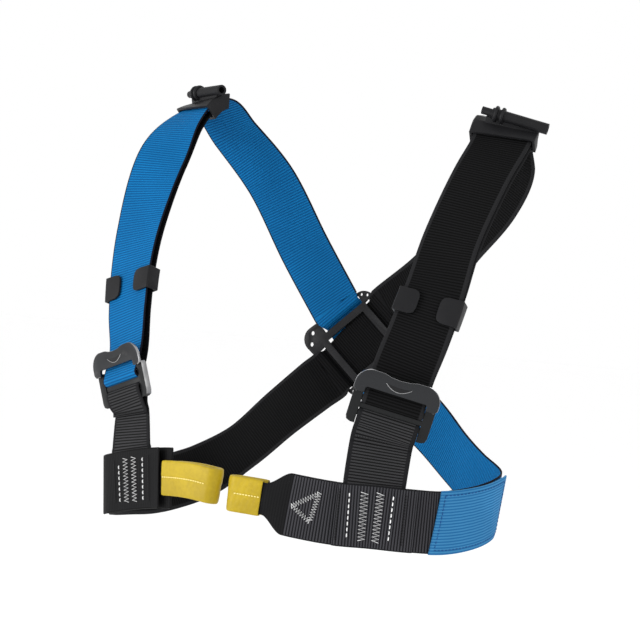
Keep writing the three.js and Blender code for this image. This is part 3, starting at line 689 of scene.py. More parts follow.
def tube(maker: MeshMaker, path: Sequence[Vector], radius: float, sides: int = THREAD_SIDES) -> None:
    """Adds a closed round tube along points in metres.

    Args:
        maker: where the tube goes.
        path: the points of its middle line.
        radius: its radius in metres.
        sides: how many sides it has.
    """
    last, side = None, None
    for i, p in enumerate(path):
        run = (path[min(i + 1, len(path) - 1)] - path[max(i - 1, 0)]).normalized()
        hint = side if side is not None else run.orthogonal()
        side = (hint - run * hint.dot(run)).normalized()
        other = run.cross(side)
        fat = radius if 0 < i < len(path) - 1 else radius * THREAD_TAPER
        angles = [2 * math.pi * k / sides for k in range(sides)]
        ring = maker.ring([p + (side * math.cos(a) + other * math.sin(a)) * fat for a in angles])
        last = maker.grow(last, ring)
    maker.cap(last, False)


class Shader:
    """A small helper that adds nodes to one material."""

    def __init__(self, name: str) -> None:
        """Makes an empty material with its principled shader.

        Args:
            name: the material's name.
        """
        self.material = bpy.data.materials.new(name)
        self.material.use_nodes = True
        self.nodes = self.material.node_tree.nodes
        self.links = self.material.node_tree.links
        self.shader = self.nodes["Principled BSDF"]

    def add(self, kind: str, **settings: object) -> bpy.types.Node:
        """Adds a node.

        Args:
            kind: the node's kind.
            **settings: its properties.

        Returns:
            The node.
        """
        node = self.nodes.new("ShaderNode" + kind)
        for key, value in settings.items():
            setattr(node, key, value)
        return node

    def join(self, source: object, target: bpy.types.NodeSocket) -> None:
        """Links a socket, or sets a plain number or colour.

        Args:
            source: the socket or the value.
            target: the socket that takes it.
        """
        if isinstance(source, bpy.types.NodeSocket):
            self.links.new(source, target)
        else:
            target.default_value = source

    def feed(self, node: bpy.types.Node, values: Sequence[object], sockets: Sequence[int | str],
             output: int = 0) -> bpy.types.NodeSocket:
        """Feeds values into a node.

        Args:
            node: the node.
            values: sockets, numbers or colours.
            sockets: the numbers or names of the inputs that take them.
            output: the number of the output that is wanted.

        Returns:
            That output.
        """
        for value, socket in zip(values, sockets):
            self.join(value, node.inputs[socket])
        return node.outputs[output]

    def dress(self, **values: object) -> None:
        """Feeds the shader's own sockets, whose names have _ for a space."""
        names = [name.replace("_", " ") for name in values]
        self.feed(self.shader, list(values.values()), names)

    def maths(self, operation: str, *values: object) -> bpy.types.NodeSocket:
        """The result of a maths node."""
        return self.feed(self.add("Math", operation=operation), values, range(len(values)))

    def mix(self, share: object, a: object, b: object) -> bpy.types.NodeSocket:
        """A mix of two colours."""
        return self.feed(self.add("Mix", data_type="RGBA"), (share, a, b), (0, 6, 7), 2)

    def remap(self, value: object, low: float, high: float, to_low: float = 0.0,
              to_high: float = 1.0) -> bpy.types.NodeSocket:
        """A value remapped smoothly from one range to another."""
        node = self.add("MapRange", interpolation_type="SMOOTHSTEP")
        return self.feed(node, (value, low, high, to_low, to_high), range(5))

    def noise(self, scale: float, detail: float = 4.0) -> bpy.types.NodeSocket:
        """Noise in the object's own space."""
        place = self.add("TexCoord").outputs["Object"]
        return self.feed(self.add("TexNoise"), (place, scale, detail), ("Vector", "Scale", "Detail"))

    def bump(self, height: object, strength: float, distance: float) -> None:
        """Feeds a height into the shader's normal."""
        sockets = ("Height", "Strength", "Distance")
        self.dress(Normal=self.feed(self.add("Bump"), (height, strength, distance), sockets))


Colour = tuple[float, float, float]
WHITE = (1.0, 1.0, 1.0)


def rgba(colour: Colour) -> tuple[float, float, float, float]:
    """A colour with full cover."""
    return (*colour, 1.0)


@dataclass(frozen=True)
class WovenFinish:
    """Ribbed webbing: colours of its ribs and selvedges, its yarns, and the painted shade in its grooves
    and between its yarns.
    """

    name: str
    rib: Colour
    groove_shade: Colour
    selvedge: Colour
    selvedge_width: float
    roughness: float = 0.72
    selvedge_blur: float = 0.5
    yarn_pitch: float = 1.15
    yarn_shade: float = 0.45
    rib_ramp: tuple[float, float] = (-0.9, 0.5)
    yarn_ramp: tuple[float, float] = (-1.0, 0.4)
    fade_ramp: tuple[float, float] = (0.35, 0.7)
    lit: float = 1.18
    fade_scale: float = 22.0
    fibre_scale: float = 2600.0
    yarn_weight: float = 0.6
    fibre_weight: float = 0.35
    rib_weight: float = 0.5
    specular: float = 0.05
    relief: float = 0.45
    relief_height: float = 0.00018

    def make(self) -> bpy.types.Material:
        """Builds the material.

        Returns:
            The material.
        """
        sh = Shader(self.name)
        split = sh.add("SeparateXYZ")
        sh.join(sh.add("UVMap", uv_map=WEAVE_UV).outputs[0], split.inputs[0])
        across, along = split.outputs[0], split.outputs[1]
        turn = 2 * math.pi / MM
        rib = sh.maths("COSINE", sh.maths("MULTIPLY", along, turn / RIB_PITCH))
        top = sh.remap(rib, *self.rib_ramp)
        row = sh.maths("FLOOR", sh.maths("DIVIDE", along, RIB_PITCH * MM / 2))
        yarns = sh.maths("MULTIPLY", across, turn / self.yarn_pitch)
        yarn = sh.maths("SINE", sh.maths("ADD", yarns, sh.maths("MULTIPLY", row, math.pi)))
        yarn_high = sh.remap(yarn, *self.yarn_ramp)
        inside = WEBBING_WIDTH / 2 - self.selvedge_width
        edge = sh.remap(sh.maths("ABSOLUTE", across), inside * MM, (inside + self.selvedge_blur) * MM)
        brighter = rgba(tuple(c * self.lit for c in self.rib))
        lit = sh.mix(sh.remap(sh.noise(self.fade_scale), *self.fade_ramp), rgba(self.rib), brighter)
        # painted shade: the groove colour darkens the gaps between yarns and fills the grooves between the
        # ribs
        yarned = sh.mix(yarn_high, sh.mix(self.yarn_shade, lit, rgba(self.groove_shade)), lit)
        body = sh.mix(top, rgba(self.groove_shade), yarned)
        fibre = sh.noise(self.fibre_scale, 2.0)
        height = sh.maths("ADD", sh.maths("MULTIPLY", yarn_high, self.yarn_weight),
                          sh.maths("MULTIPLY", fibre, self.fibre_weight))
        height = sh.maths("ADD", height, sh.maths("MULTIPLY", top, self.rib_weight))
        sh.dress(Base_Color=sh.mix(edge, body, rgba(self.selvedge)), Roughness=self.roughness,
                 Specular_IOR_Level=self.specular)
        sh.bump(height, self.relief, self.relief_height)
        return sh.material


@dataclass(frozen=True)
class SoftFinish:
    """Plain coated fabric or thread, with colour variation and grain."""

    name: str
    colour: Colour
    shade: Colour
    roughness: float = 0.6
    grain: float = 4000.0
    bump: float = 0.2
    patch_scale: float = 38.0
    patch_weight: float = 0.7
    grain_weight: float = 0.3
    ramp: tuple[float, float] = (0.3, 0.7)
    specular: float = 0.2
    relief_height: float = 0.0003

    def make(self) -> bpy.types.Material:
        """Builds the material.

        Returns:
            The material.
        """
        sh = Shader(self.name)
        broad, fine = sh.noise(self.patch_scale), sh.noise(self.grain, 3.0)
        both = sh.maths("ADD", sh.maths("MULTIPLY", broad, self.patch_weight),
                        sh.maths("MULTIPLY", fine, self.grain_weight))
        tint = sh.mix(sh.remap(both, *self.ramp), rgba(self.shade), rgba(self.colour))
        sh.dress(Base_Color=tint, Roughness=self.roughness, Specular_IOR_Level=self.specular)
        sh.bump(fine, self.bump, self.relief_height)
        return sh.material


@dataclass(frozen=True)
class HardFinish:
    """Moulded plastic or coated metal, with grain and rubbed places."""

    name: str
    colour: Colour
    rubbed: Colour
    roughness: float
    metallic: float
    grain: float
    bump: float
    wear: float = 0.62
    wear_scale: float = 90.0
    wear_blur: float = 0.2
    smear_scale: float = 60.0
    smear_ramp: tuple[float, float] = (0.3, 0.7)
    smear: tuple[float, float] = (-0.06, 0.08)
    specular: float = 0.12
    relief_height: float = 0.0002

    def make(self) -> bpy.types.Material:
        """Builds the material.

        Returns:
            The material.
        """
        sh = Shader(self.name)
        rub = sh.remap(sh.noise(self.wear_scale, 6.0), self.wear, self.wear + self.wear_blur)
        smears = sh.remap(sh.noise(self.smear_scale), *self.smear_ramp,
                          *(self.roughness + change for change in self.smear))
        sh.dress(Base_Color=sh.mix(rub, rgba(self.colour), rgba(self.rubbed)), Roughness=smears,
                 Metallic=self.metallic, Specular_IOR_Level=self.specular)
        sh.bump(sh.noise(self.grain, 2.0), self.bump, self.relief_height)
        return sh.material


class Finishes:
    """All the harness's materials, made once."""

    def __init__(self) -> None:
        """Builds each finish."""
        # The second colour of each woven finish is painted shade for its grooves and the gaps between its
        # yarns.
        night = (0.005, 0.005, 0.009)
        sea, sea_groove_shade = (0.004, 0.122, 0.31), (0.002, 0.06, 0.178)
        self.blue = WovenFinish("blue_webbing", sea, sea_groove_shade, night, 1.5).make()
        # painted shade: the tail's wide near-black selvedges stand for its dark edge and for the shadow
        # that it lies in behind the strap
        self.blue_tail_painted_shade = WovenFinish("blue_webbing_tail_painted_shade", sea, sea_groove_shade, (0.004, 0.004, 0.005), 8.5).make()
        self.cover = WovenFinish("blue_cover", (0.04, 0.175, 0.345), (0.012, 0.1, 0.25),
                                 (0.03, 0.16, 0.34), 0.6).make()
        self.black = WovenFinish("black_webbing", (0.0065, 0.0065, 0.007), (0.0015, 0.0015, 0.0015),
                                 (0.014, 0.014, 0.015), 3.2).make()
        self.riser = WovenFinish("black_riser", (0.034, 0.034, 0.036), (0.004, 0.004, 0.004),
                                 (0.01, 0.01, 0.011), 3.4).make()
        self.band = WovenFinish("black_band", (0.044, 0.044, 0.049), (0.005, 0.005, 0.006),
                                (0.009, 0.009, 0.01), 1.2).make()
        self.patch = WovenFinish("black_panel", (0.0075, 0.0075, 0.008), (0.005, 0.005, 0.0055),
                                 (0.004, 0.004, 0.004), 1.2, roughness=0.55).make()
        self.yellow = SoftFinish("yellow_sleeve", (0.4, 0.285, 0.009), (0.295, 0.207, 0.006),
                                 0.5, 420.0, 0.3).make()
        self.white_thread = SoftFinish("white_thread", (0.8, 0.8, 0.8), (0.6, 0.6, 0.6), 0.7).make()
        self.black_thread = SoftFinish("black_thread", (0.011, 0.011, 0.012), (0.004, 0.004, 0.004)).make()
        self.yellow_thread = SoftFinish("yellow_thread", (0.9, 0.78, 0.32), (0.75, 0.62, 0.2)).make()
        self.blue_thread = SoftFinish("blue_thread", (0.006, 0.06, 0.24), (0.004, 0.035, 0.16)).make()
        self.moulded = HardFinish("moulded_plastic", (0.009, 0.009, 0.01), (0.014, 0.014, 0.015),
                                  0.45, 0.0, 1500.0, 0.12).make()
        self.metal = HardFinish("dark_metal", (0.031, 0.032, 0.034), (0.065, 0.065, 0.067),
                                0.3, 1.0, 900.0, 0.05).make()
        self.recess = HardFinish("pressed_recess", (0.022, 0.022, 0.023), (0.035, 0.035, 0.036),
                                 0.35, 1.0, 900.0, 0.05).make()
        self.bright = HardFinish("bright_edge", (0.33, 0.33, 0.34), (0.5, 0.5, 0.5),
                                 0.25, 1.0, 900.0, 0.03).make()
        self.steel = HardFinish("ground_steel", (0.27, 0.27, 0.275), (0.4, 0.4, 0.4),
                                0.35, 1.0, 700.0, 0.1, 0.5).make()
        self.frame_metal = HardFinish("frame_metal", (0.017, 0.0175, 0.018), (0.035, 0.035, 0.036),
                                      0.36, 0.7, 900.0, 0.06).make()


@dataclass
class ShoulderWebs:
    """The two webs that cross on the back, and turn round the buckles."""

    finishes: Finishes
    left_start: float = 168.0
    right_start: float = 114.0
    tail_spacing: float = 5.0
    tail_short_of_shoulder: float = 10.0
    keeper_above_bar: float = 75.0
    settle_length: float = 14.0

    def lift(self, girth: Route) -> Lift:
        """The girth's lift, which comes level with the plate at its end."""
        ends = (girth.length - self.settle_length, girth.length)
        return lambda length: -LAYER_PITCH * (1 - ease(length, *ends))

    def tail_gap(self, side: Side, from_bar: float) -> float:
        """The distance between a strap and its tail."""
        return blend(from_bar, (0, self.keeper_above_bar / 2), (2 * side.wrap, self.tail_spacing))

    def stations(self, girth: Route, start: float, cross: Sequence[Station], side: Side) -> list[Station]:
        """All stations of one web.

        Args:
            girth: the chest band's route that it starts on.
            start: where it starts on that route.
            cross: its way through the plate.
            side: the side whose brace and buckle it uses.

        Returns:
            The stations.
        """
        brace = side.brace
        lead = girth.between(start, girth.length - FINE_STEP, self.lift(girth))
        over = brace.between(FINE_STEP, brace.length)
        tail = []
        for s in brace.between(brace.length - 1, side.crest + self.tail_short_of_shoulder):
            gap = self.tail_gap(side, brace.length - s.length)
            # finish 1 marks the tail; on the blue web that finish carries painted shade along its edges
            tail.append(replace(s.shifted(outward=-gap).reversed(), finish=1))
        return [*lead, *cross, *over, *half_turn(over[-1], side.wrap), *tail]

    def build(self) -> None:
        """Makes both webs."""
        blue = self.stations(LEFT.girth, self.left_start, BLUE_CROSS, RIGHT)
        black = self.stations(RIGHT.girth, self.right_start, BLACK_CROSS, LEFT)
        f = self.finishes
        Webbing().sweep(blue).make("blue_web", Slot.BLUE, f.blue, f.blue_tail_painted_shade, replaces=["web_blue"])
        Webbing().sweep(black).make("black_web", Slot.BLACK, f.black, f.black, replaces=["web_black"])


@dataclass
class TieInLoops:
    """The chest band's ends: the left band and tab, the tapes' turns and the yellow sleeves."""

    finishes: Finishes
    loop_width: float = 23.0
    loop_thickness: float = 2.2
    loop_eye: float = 5.4
    sleeve_wall: float = 1.1
    neck: tuple[float, float] = (27.0, 46.0)
    smooth_ramp: tuple[float, float] = (-2.0, 4.0)
    fold_in: tuple[float, float] = (-4.0, 6.0)
    fold_out: tuple[float, float] = (-4.0, 8.0)
    left_end: float = 208.0
    left_inner_end: float = 80.0
    left_sleeve: float = 26.0
    tab: tuple[float, float] = (44.0, 148.0)
    right_sleeve: float = 49.0
    right_sleeve_inner: float = 40.0
    tape_outer_end: float = 63.0
    tape_inner_end: float = 98.0
    seam_above: float = 0.9
    pleat_depth: float = 1.1
    pleats: tuple[float, ...] = (-0.9, 0.5, -0.2, 0.7, 0.1, 0.6, -0.9)
    tape_drop: float = 13.0
    sleeve_sides: int = 64
    squareness: float = 6
    end_rounding: float = 0.3
    end_length: float = 0.9
    crease: float = 0.1
    crease_rates: tuple[float, ...] = (1.1, 0.9, 0.31, 0.4)
    flap: float = 0.32
    flap_ramp: float = 0.9

    def __post_init__(self) -> None:
        """Works out the turn's radius and the tape's heights."""
        self.reach = self.loop_thickness / 2 + LAYER_GAP + self.sleeve_wall
        self.turn = self.loop_eye / 2 + self.reach
        self.tape_on_tab = (WEBBING_THICKNESS + self.loop_thickness) / 2 + LAYER_GAP
        self.sleeve_on_tab = WEBBING_THICKNESS / 2 + LAYER_GAP + self.reach

    def left_inner(self, length: float) -> float:
        """Lift of the left loop's inner leg."""
        return -blend(length, self.neck, (2 * self.turn, LAYER_PITCH))

    def right_inner(self, length: float) -> float:
        """Lift of the right loop's inner leg."""
        return -blend(length, (0, self.tab[0]), (self.turn, self.tape_on_tab))

    def right_outer(self, length: float) -> float:
        """Lift of the right loop's outer leg.

        Args:
            length: millimetres along the girth.

        Returns:
            The lift in millimetres.
        """
        drop = self.tape_on_tab - self.sleeve_on_tab
        return (blend(length, (0, self.tab[0]), (self.turn, self.sleeve_on_tab))
                + blend(length, (self.right_sleeve, self.right_sleeve + self.tape_drop), (0, drop)))

    def loop(self, girth: Route, outer_end: float, outer: Optional[Lift], inner: Lift,
             inner_end: float) -> list[Station]:
        """Stations to the loop's tip on the outside, round it and back inside.

        Args:
            girth: the route that the loop lies on.
            outer_end: where the outer leg starts on it.
            outer: the outer leg's lift.
            inner: the inner leg's lift.
            inner_end: where the inner leg ends.

        Returns:
            The stations.
        """
        front = [s.forward() for s in girth.between(outer_end, self.turn, outer)]
        turn = [replace(s, length=0.0) for s in half_turn(front[-1], self.turn)]
        back = [s.forward().reversed() for s in girth.between(self.turn, inner_end, inner)[1:]]
        return [*front, *turn, *back]

    def sleeve(self, name: str, node: str, stations: Sequence[Station], up: int) -> None:
        """Makes a sleeve: a soft closed form with creases round the loop.

        Args:
            name: the sleeve's name.
            node: the CAD node that it stands for.
            stations: the tape's stations inside it.
            up: 1 where the stations' edge points up, else -1.
        """
        maker = MeshMaker()
        wide, thick = self.loop_width / 2 + LAYER_GAP, self.loop_thickness / 2 + LAYER_GAP
        steep, climb, slow, fall = self.crease_rates
        outside, inside = [], []
        for i, s in enumerate(stations):
            along = i * FINE_STEP
            end = min(along, (len(stations) - 1) * FINE_STEP - along)
            wall = self.sleeve_wall - self.end_rounding * math.exp(-end / self.end_length)
            ring_out, ring_in = [], []
            for k in range(self.sleeve_sides):
                angle = 2 * math.pi * k / self.sleeve_sides
                c, d = math.cos(angle), math.sin(angle)
                square = (abs(c) ** self.squareness + abs(d) ** self.squareness) ** (-1 / self.squareness)
                side = d * square * (wide + wall)
                crease = self.crease * math.sin(steep * along + climb * side * up)
                crease *= math.sin(slow * along - fall * side)
                over = ease(side * up, self.seam_above, self.seam_above + self.flap_ramp)
                flap = self.flap * over if c > 0 else 0.0
                lift = c * square * (thick + wall) + (crease + flap - self.flap) * abs(c)
                ring_out.append(s.point(side, lift))
                ring_in.append(s.point(d * square * wide, c * square * thick))
            outside.append(maker.ring(ring_out))
            inside.append(maker.ring(ring_in)[::-1])
        for rings in (outside, inside):
            for a, b in zip(rings, rings[1:]):
                maker.bridge(a, b)
        maker.bridge(outside[0][::-1], inside[0])
        maker.bridge(outside[-1], inside[-1][::-1])
        obj = maker.make(name, Slot.YELLOW, self.finishes.yellow, replaces=[node])
        bm = bmesh.new()
        bm.from_mesh(obj.data)
        bmesh.ops.recalc_face_normals(bm, faces=bm.faces)
        bm.to_mesh(obj.data)
        bm.free()

    def narrowed(self, s: Station) -> Station:
        """A station of the left band, narrow in its neck.

        Args:
            s: the station at full width.

        Returns:
            The narrowed station.
        """
        width = blend(s.length, self.neck, (self.loop_width, WEBBING_WIDTH))
        thick = blend(s.length, self.neck, (self.loop_thickness, WEBBING_THICKNESS))
        start, end = self.neck
        smooth = 1 - ease(s.length, *(end + x for x in self.smooth_ramp))
        fold = ease(s.length, *(start + x for x in self.fold_in))
        fold *= 1 - ease(s.length, *(end + x for x in self.fold_out))
        pleats = tuple(self.pleat_depth * fold * share for share in self.pleats)
        return replace(s, width=width, thickness=thick, rib=1 - smooth, cup=pleats,
                       finish=int(smooth > 0.5))

    def build(self) -> None:
        """Makes the band, tab, tape and sleeves."""
        band = self.loop(LEFT.girth, self.left_end, None, self.left_inner, self.left_inner_end)
        left = Webbing().sweep([self.narrowed(s) for s in band])
        left.make("left_band", Slot.BLACK, self.finishes.band, self.finishes.patch, replaces=["belt_left"])
        tab = Webbing(SMOOTH_RIB_HEIGHT).sweep(RIGHT.girth.between(*self.tab))
        tab.make("right_tab", Slot.BLACK, self.finishes.patch, replaces=["tab_right"])
        tape = self.loop(RIGHT.girth, self.tape_outer_end, self.right_outer, self.right_inner,
                         self.tape_inner_end)
        narrow = [replace(s, width=self.loop_width, thickness=self.loop_thickness) for s in tape]
        taped = Webbing().sweep(narrow)
        taped.make("right_tape", Slot.BLACK, self.finishes.black, replaces=["loop_right"])
        self.sleeve("left_sleeve", "sleeve_left",
                    self.loop(LEFT.girth, self.left_sleeve, None, self.left_inner, self.left_sleeve), 1)
        self.sleeve("right_sleeve", "sleeve_right",
                    self.loop(RIGHT.girth, self.right_sleeve, self.right_outer, self.right_inner,
                              self.right_sleeve_inner), -1)


@dataclass
class Risers:
    """Webbing from the chest band up round the buckles' lower bars."""

    finishes: Finishes
    along: tuple[float, float] = (107.5, 86.5)
    foot_inset: float = 3.0
    clear: float = 3.0
    flat_below_top: float = 8.0
    approach: float = 15.0
    fold: float = 18.0

    def stations(self, side: Side, along: float) -> list[Station]:
        """A riser's stations.

        Args:
            side: the side that it is on.
            along: where its foot is on the chest band.

        Returns:
            The stations.
        """
        foot_lift = LAYER_PITCH + FOOT_CLEAR
        foot = side.girth.at(along, foot_lift)
        up = foot.edge * -side.mirror
        foot_top = WEBBING_WIDTH / 2 + self.clear
        heights = [self.foot_inset - WEBBING_WIDTH / 2, 0, foot_top - self.flat_below_top, foot_top]
        feet = [foot.place + up * h for h in heights]
        climb = side.low_bar - feet[3]
        climb = (climb - side.across * climb.dot(side.across)).normalized()
        outward = side.across.cross(climb)
        top = station(side.low_bar - outward * side.wrap, climb, -outward)
        near = [top.shifted(along=-steps * self.approach / 2) for steps in (2, 1)]
        route = Route([*feet, *[s.place for s in near], top.place],
                      [*[-foot.face] * 4, *[s.face for s in near], top.face])
        flat = foot_top - heights[0]
        cup = []
        for share in CUP_SHARES:
            here = side.girth.at(along - side.mirror * share * WEBBING_WIDTH / 2, foot_lift)
            cup.append(-(here.place - foot.place).dot(foot.face))
        main = []
        for s in route.between(0, route.length - 1):
            left = 1 - ease(s.length, flat, flat + WEBBING_WIDTH / 2)
            main.append(replace(s, cup=tuple(c * left for c in cup)))
        folded = []
        for s in route.between(route.length - 1, route.length - self.fold):
            gap = blend(route.length - s.length, (0, self.fold), (2 * side.wrap, LAYER_PITCH))
            folded.append(s.shifted(outward=-gap).reversed())
        return [*main, top, *half_turn(top, side.wrap), *folded]

    def build(self) -> None:
        """Makes both risers."""
        for side, along in zip((LEFT, RIGHT), self.along):
            made = Webbing().sweep(self.stations(side, along))
            made.make(f"{side.name}_riser", Slot.BLACK, self.finishes.riser,
                      replaces=[f"riser_{side.name}"])


@dataclass
class Panels:
    """Panels sewn over the risers' feet, and the blue cover over the left joint."""

    finishes: Finishes
    left: tuple[float, float] = (81.5, 138.5)
    right: tuple[float, float] = (52.0, 121.0)
    cover: tuple[float, float] = (158.0, 224.0)
    cover_width: float = 46.0
    slant: float = 7.5
    ramp: float = 2.4
    end_pitches: float = 1.5
    over_tape: float = 2.25
    cover_steps: int = 56
    cover_lines: int = 150
    cover_rib: float = 0.05
    pucker: float = 0.16
    pucker_rate: float = 0.62

    @property
    def left_lift(self) -> float:
        """Height of the left panel's middle off the girth."""
        return 2 * (LAYER_PITCH + FOOT_CLEAR)

    def lift(self, span: tuple[float, float], low: float, high: float) -> Lift:
        """A lift that drops at both ends of a span.

        Args:
            span: where it starts and ends on the girth.
            low: the lift at its ends.
            high: the lift between them.

        Returns:
            The lift.
        """
        start, end = span
        return lambda x: min(blend(x, (start, start + self.ramp), (low, high)),
                             blend(x, (end - self.ramp, end), (high, low)))

    def build(self, loops: TieInLoops) -> None:
        """Makes the panels and the cover.

        Args:
            loops: the loops, whose tape the right panel lies on.
        """
        f = self.finishes
        lift = self.lift(self.left, self.end_pitches * LAYER_PITCH, self.left_lift)
        left = LEFT.girth.between(*self.left, lift)
        Webbing().sweep(left).make("left_panel", Slot.BLACK, f.band, replaces=["patch_left"])
        right = RIGHT.girth.between(*self.right, lambda x: loops.right_outer(x) + self.over_tape)
        smooth = Webbing(SMOOTH_RIB_HEIGHT).sweep(right)
        smooth.make("right_panel", Slot.BLACK, f.patch, replaces=["patch_right"])
        self.joint().make("joint_cover", Slot.BLUE, f.cover, replaces=["blue_cover"])

    def joint(self) -> MeshMaker:
        """The blue cover: webbing whose ribs run along the band, with a slanted front end.

        Returns:
            The cover's surface.
        """
        maker = MeshMaker()
        start, end = self.cover
        half, last = self.cover_width / 2, None
        for i in range(self.cover_steps + 1):
            share = i / self.cover_steps
            slant = self.slant * (1 - share)
            top, low, weave_top, weave_low = [], [], [], []
            for k, side in enumerate(spread(-half, half, self.cover_lines)):
                along = start + (end - start) * share - slant * (side / half + 1) / 2
                s = LEFT.girth.at(along, LAYER_PITCH)
                body = round_edge(side, half, WEBBING_THICKNESS)
                rib = self.cover_rib * (math.cos(2 * math.pi * side / RIB_PITCH) - 1)
                puckered = self.pucker * math.sin(along * self.pucker_rate) * (1 - (side / half) ** 2)
                top.append(s.point(side, body + rib + puckered))
                weave_top.append((0.0, side * MM))
                if 0 < k < self.cover_lines:
                    low.append(s.point(side, -body))
                    weave_low.append((0.0, side * MM))
            last = maker.grow(last, maker.ring([*top, *low[::-1]], [*weave_top, *weave_low[::-1]]))
        maker.cap(last, False)
        return maker


MERGE_DISTANCE = 2e-6
FLAT_ANGLE = math.radians(1.5)
BEVEL_ANGLE = math.radians(34)
SHADE_ANGLE = math.radians(40)
BEVEL_PROFILE = 0.6


def softened(node: str, name: str, materials: Sequence[bpy.types.Material],
             width: float, bright: Optional[Callable[[Vector, Vector], bool]] = None,
             shape: Optional[Callable[[Vector], Vector]] = None) -> bpy.types.Object:
    """A copy of a hard CAD node with rounded edges, which stands for it.

    Args:
        node: the CAD node.
        name: the new object's name.
        materials: its finishes, the body's first.
        width: the rounding in millimetres.
        bright: tells from a face's middle and normal whether it takes the second finish.
        shape: gives a point's new place, in millimetres.

    Returns:
        The new object.
    """
    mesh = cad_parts[node].data.copy()
    mesh.name = name
    mesh.materials.clear()
    for material in materials:
        mesh.materials.append(material)
    bm = bmesh.new()
    bm.from_mesh(mesh)
    for face in bm.faces:
        face.material_index = 0
        face.smooth = False
    bmesh.ops.remove_doubles(bm, verts=bm.verts, dist=MERGE_DISTANCE)
    bmesh.ops.dissolve_limit(bm, angle_limit=FLAT_ANGLE, verts=bm.verts, edges=bm.edges)
    sharp = [e for e in bm.edges if e.is_manifold and e.calc_face_angle(0) > BEVEL_ANGLE]
    bmesh.ops.bevel(bm, geom=sharp, offset=width * MM, segments=2, profile=BEVEL_PROFILE,
                    affect="EDGES", clamp_overlap=True)
    if shape is not None:
        for vert in bm.verts:
            vert.co = shape(vert.co / MM) * MM
    bmesh.ops.recalc_face_normals(bm, faces=bm.faces)
    for face in bm.faces:
        face.smooth = True
        if bright is not None and bright(face.calc_center_median() / MM, face.normal):
            face.material_index = 1
    bm.to_mesh(mesh)
    bm.free()
    mesh.set_sharp_from_angle(angle=SHADE_ANGLE)
    return fasten(bpy.data.objects.new(name, mesh), [node])


@dataclass
class HardParts:
    """Buckles, crossing plate, keepers and shoulder clips."""

    finishes: Finishes
    buckle_rounding: float = 0.55
    plate_rounding: float = 0.5
    keeper_rounding: float = 0.7
    clip_rounding: float = 0.35
    plate_face: float = 4.9
    crescent_up: float = 16.4
    crescent_half: float = 9.5
    crescent_deep: float = 4.4
    crescent_top: float = 0.9
    crescent_rim: float = 0.3
    crescent_steps: int = 24
    dish_rows: int = 4
    dish_lift: float = 0.02
    dish_rim: float = 0.12
    edge_slope: float = 0.93
    window_up: float = 8.0
    window_reach: float = -4.0
    leg_from: float = 28.0
    bar_half: float = 23.9
    bar_reach: float = 1.6
    bar_growth: float = 0.6
    leg_inner: float = 23.4
    leg_reach: float = 1.0
    leg_growth: float = 0.85

    def crescent(self, side: Side) -> None:
        """Makes the crescent pressed into a buckle's plate, as a dish with a rounded rim.

        Args:
            side: the side whose buckle takes it.
        """
        def at(across: float, up: float, out: float) -> Vector:
            """A point in the buckle, in metres."""
            return (side.bar + side.across * across + side.up * up + side.out * out) * MM

        steps = self.crescent_steps
        rim, dish = MeshMaker(), MeshMaker()
        curve = [(share, 1 - share * share) for share in (-1 + 2 * i / steps for i in range(steps + 1))]
        top, low = ([(share * self.crescent_half, self.crescent_up - depth * bow) for share, bow in curve]
                    for depth in (self.crescent_top, self.crescent_deep))
        tube(rim, [at(x, y, self.plate_face) for x, y in low], self.crescent_rim * MM)
        last = None
        for row in range(self.dish_rows + 1):
            share = row / self.dish_rows
            out = self.plate_face + self.dish_lift + self.dish_rim * (2 * share - 1) ** 2
            ring = dish.ring([at(x, y + (v - y) * share, out) for (x, y), (_, v) in zip(top, low)])
            if last is not None:
                for k in range(steps):
                    dish.face((last[k], ring[k], ring[k + 1], last[k + 1]))
            last = ring
        rim.make(f"{side.name}_crescent_rim", Slot.METAL, self.finishes.steel)
        dish.make(f"{side.name}_crescent", Slot.METAL, self.finishes.recess)

    def on_rim(self, side: Side, middle: Vector, normal: Vector) -> bool:
        """Whether a face is on the outer edge of a buckle's plate.

        Args:
            side: the buckle's side.
            middle: the face's middle.
            normal: the face's outward direction.

        Returns:
            True if it is.
        """
        off = middle - side.bar - side.up * self.window_up
        steep = abs(normal.dot(side.out)) < self.edge_slope
        return steep and off.dot(normal) > 0 and off.dot(side.up) > self.window_reach

    def on_leg(self, side: Side, middle: Vector, normal: Vector) -> bool:
        """Whether a face is on the outer edge of a frame's leg."""
        off = (middle - side.bar).dot(side.across)
        return abs(normal.dot(side.out)) < self.edge_slope and abs(off) > self.leg_from

    def filled(self, side: Side, point: Vector) -> Vector:
        """Widens a frame's middle bar and legs inwards, so that no light falls past the webbing.

        Args:
            side: the frame's side.
            point: a point of the frame.

        Returns:
            The point's new place.
        """
        off = point - side.bar
        across = off.dot(side.across)
        up = off.dot(side.up) + side.bar_pitch / 2
        if self.leg_inner < abs(across) < self.leg_inner + self.leg_reach:
            point = point - side.across * math.copysign(self.leg_growth, across)
        if abs(across) > self.bar_half or abs(up) > self.bar_reach:
            return point
        return point + side.up * math.copysign(self.bar_growth, up)

    def build(self) -> None:
        """Makes all the hard pieces."""
        f = self.finishes
        for side in (LEFT, RIGHT):
            name = side.name
            softened(f"buckle_top_{name}", f"{name}_buckle_plate", [f.metal, f.bright],
                     self.buckle_rounding, partial(self.on_rim, side))
            softened(f"buckle_frame_{name}", f"{name}_buckle_frame", [f.frame_metal, f.steel],
                     self.buckle_rounding, partial(self.on_leg, side), partial(self.filled, side))
            self.crescent(side)
            for kind, width in (("keeper", self.keeper_rounding), ("shoulder_clip", self.clip_rounding)):
                softened(f"{kind}_{name}", f"{name}_{kind}", [f.moulded], width)
        softened("back_plate", "crossing_plate", [f.moulded], self.plate_rounding)


class Sew(Enum):
    """How a line across a band is sewn."""

    DASHES = "white dashes"
    ZIGZAG = "white bar tack"
    EDGE = "black edge zigzag"


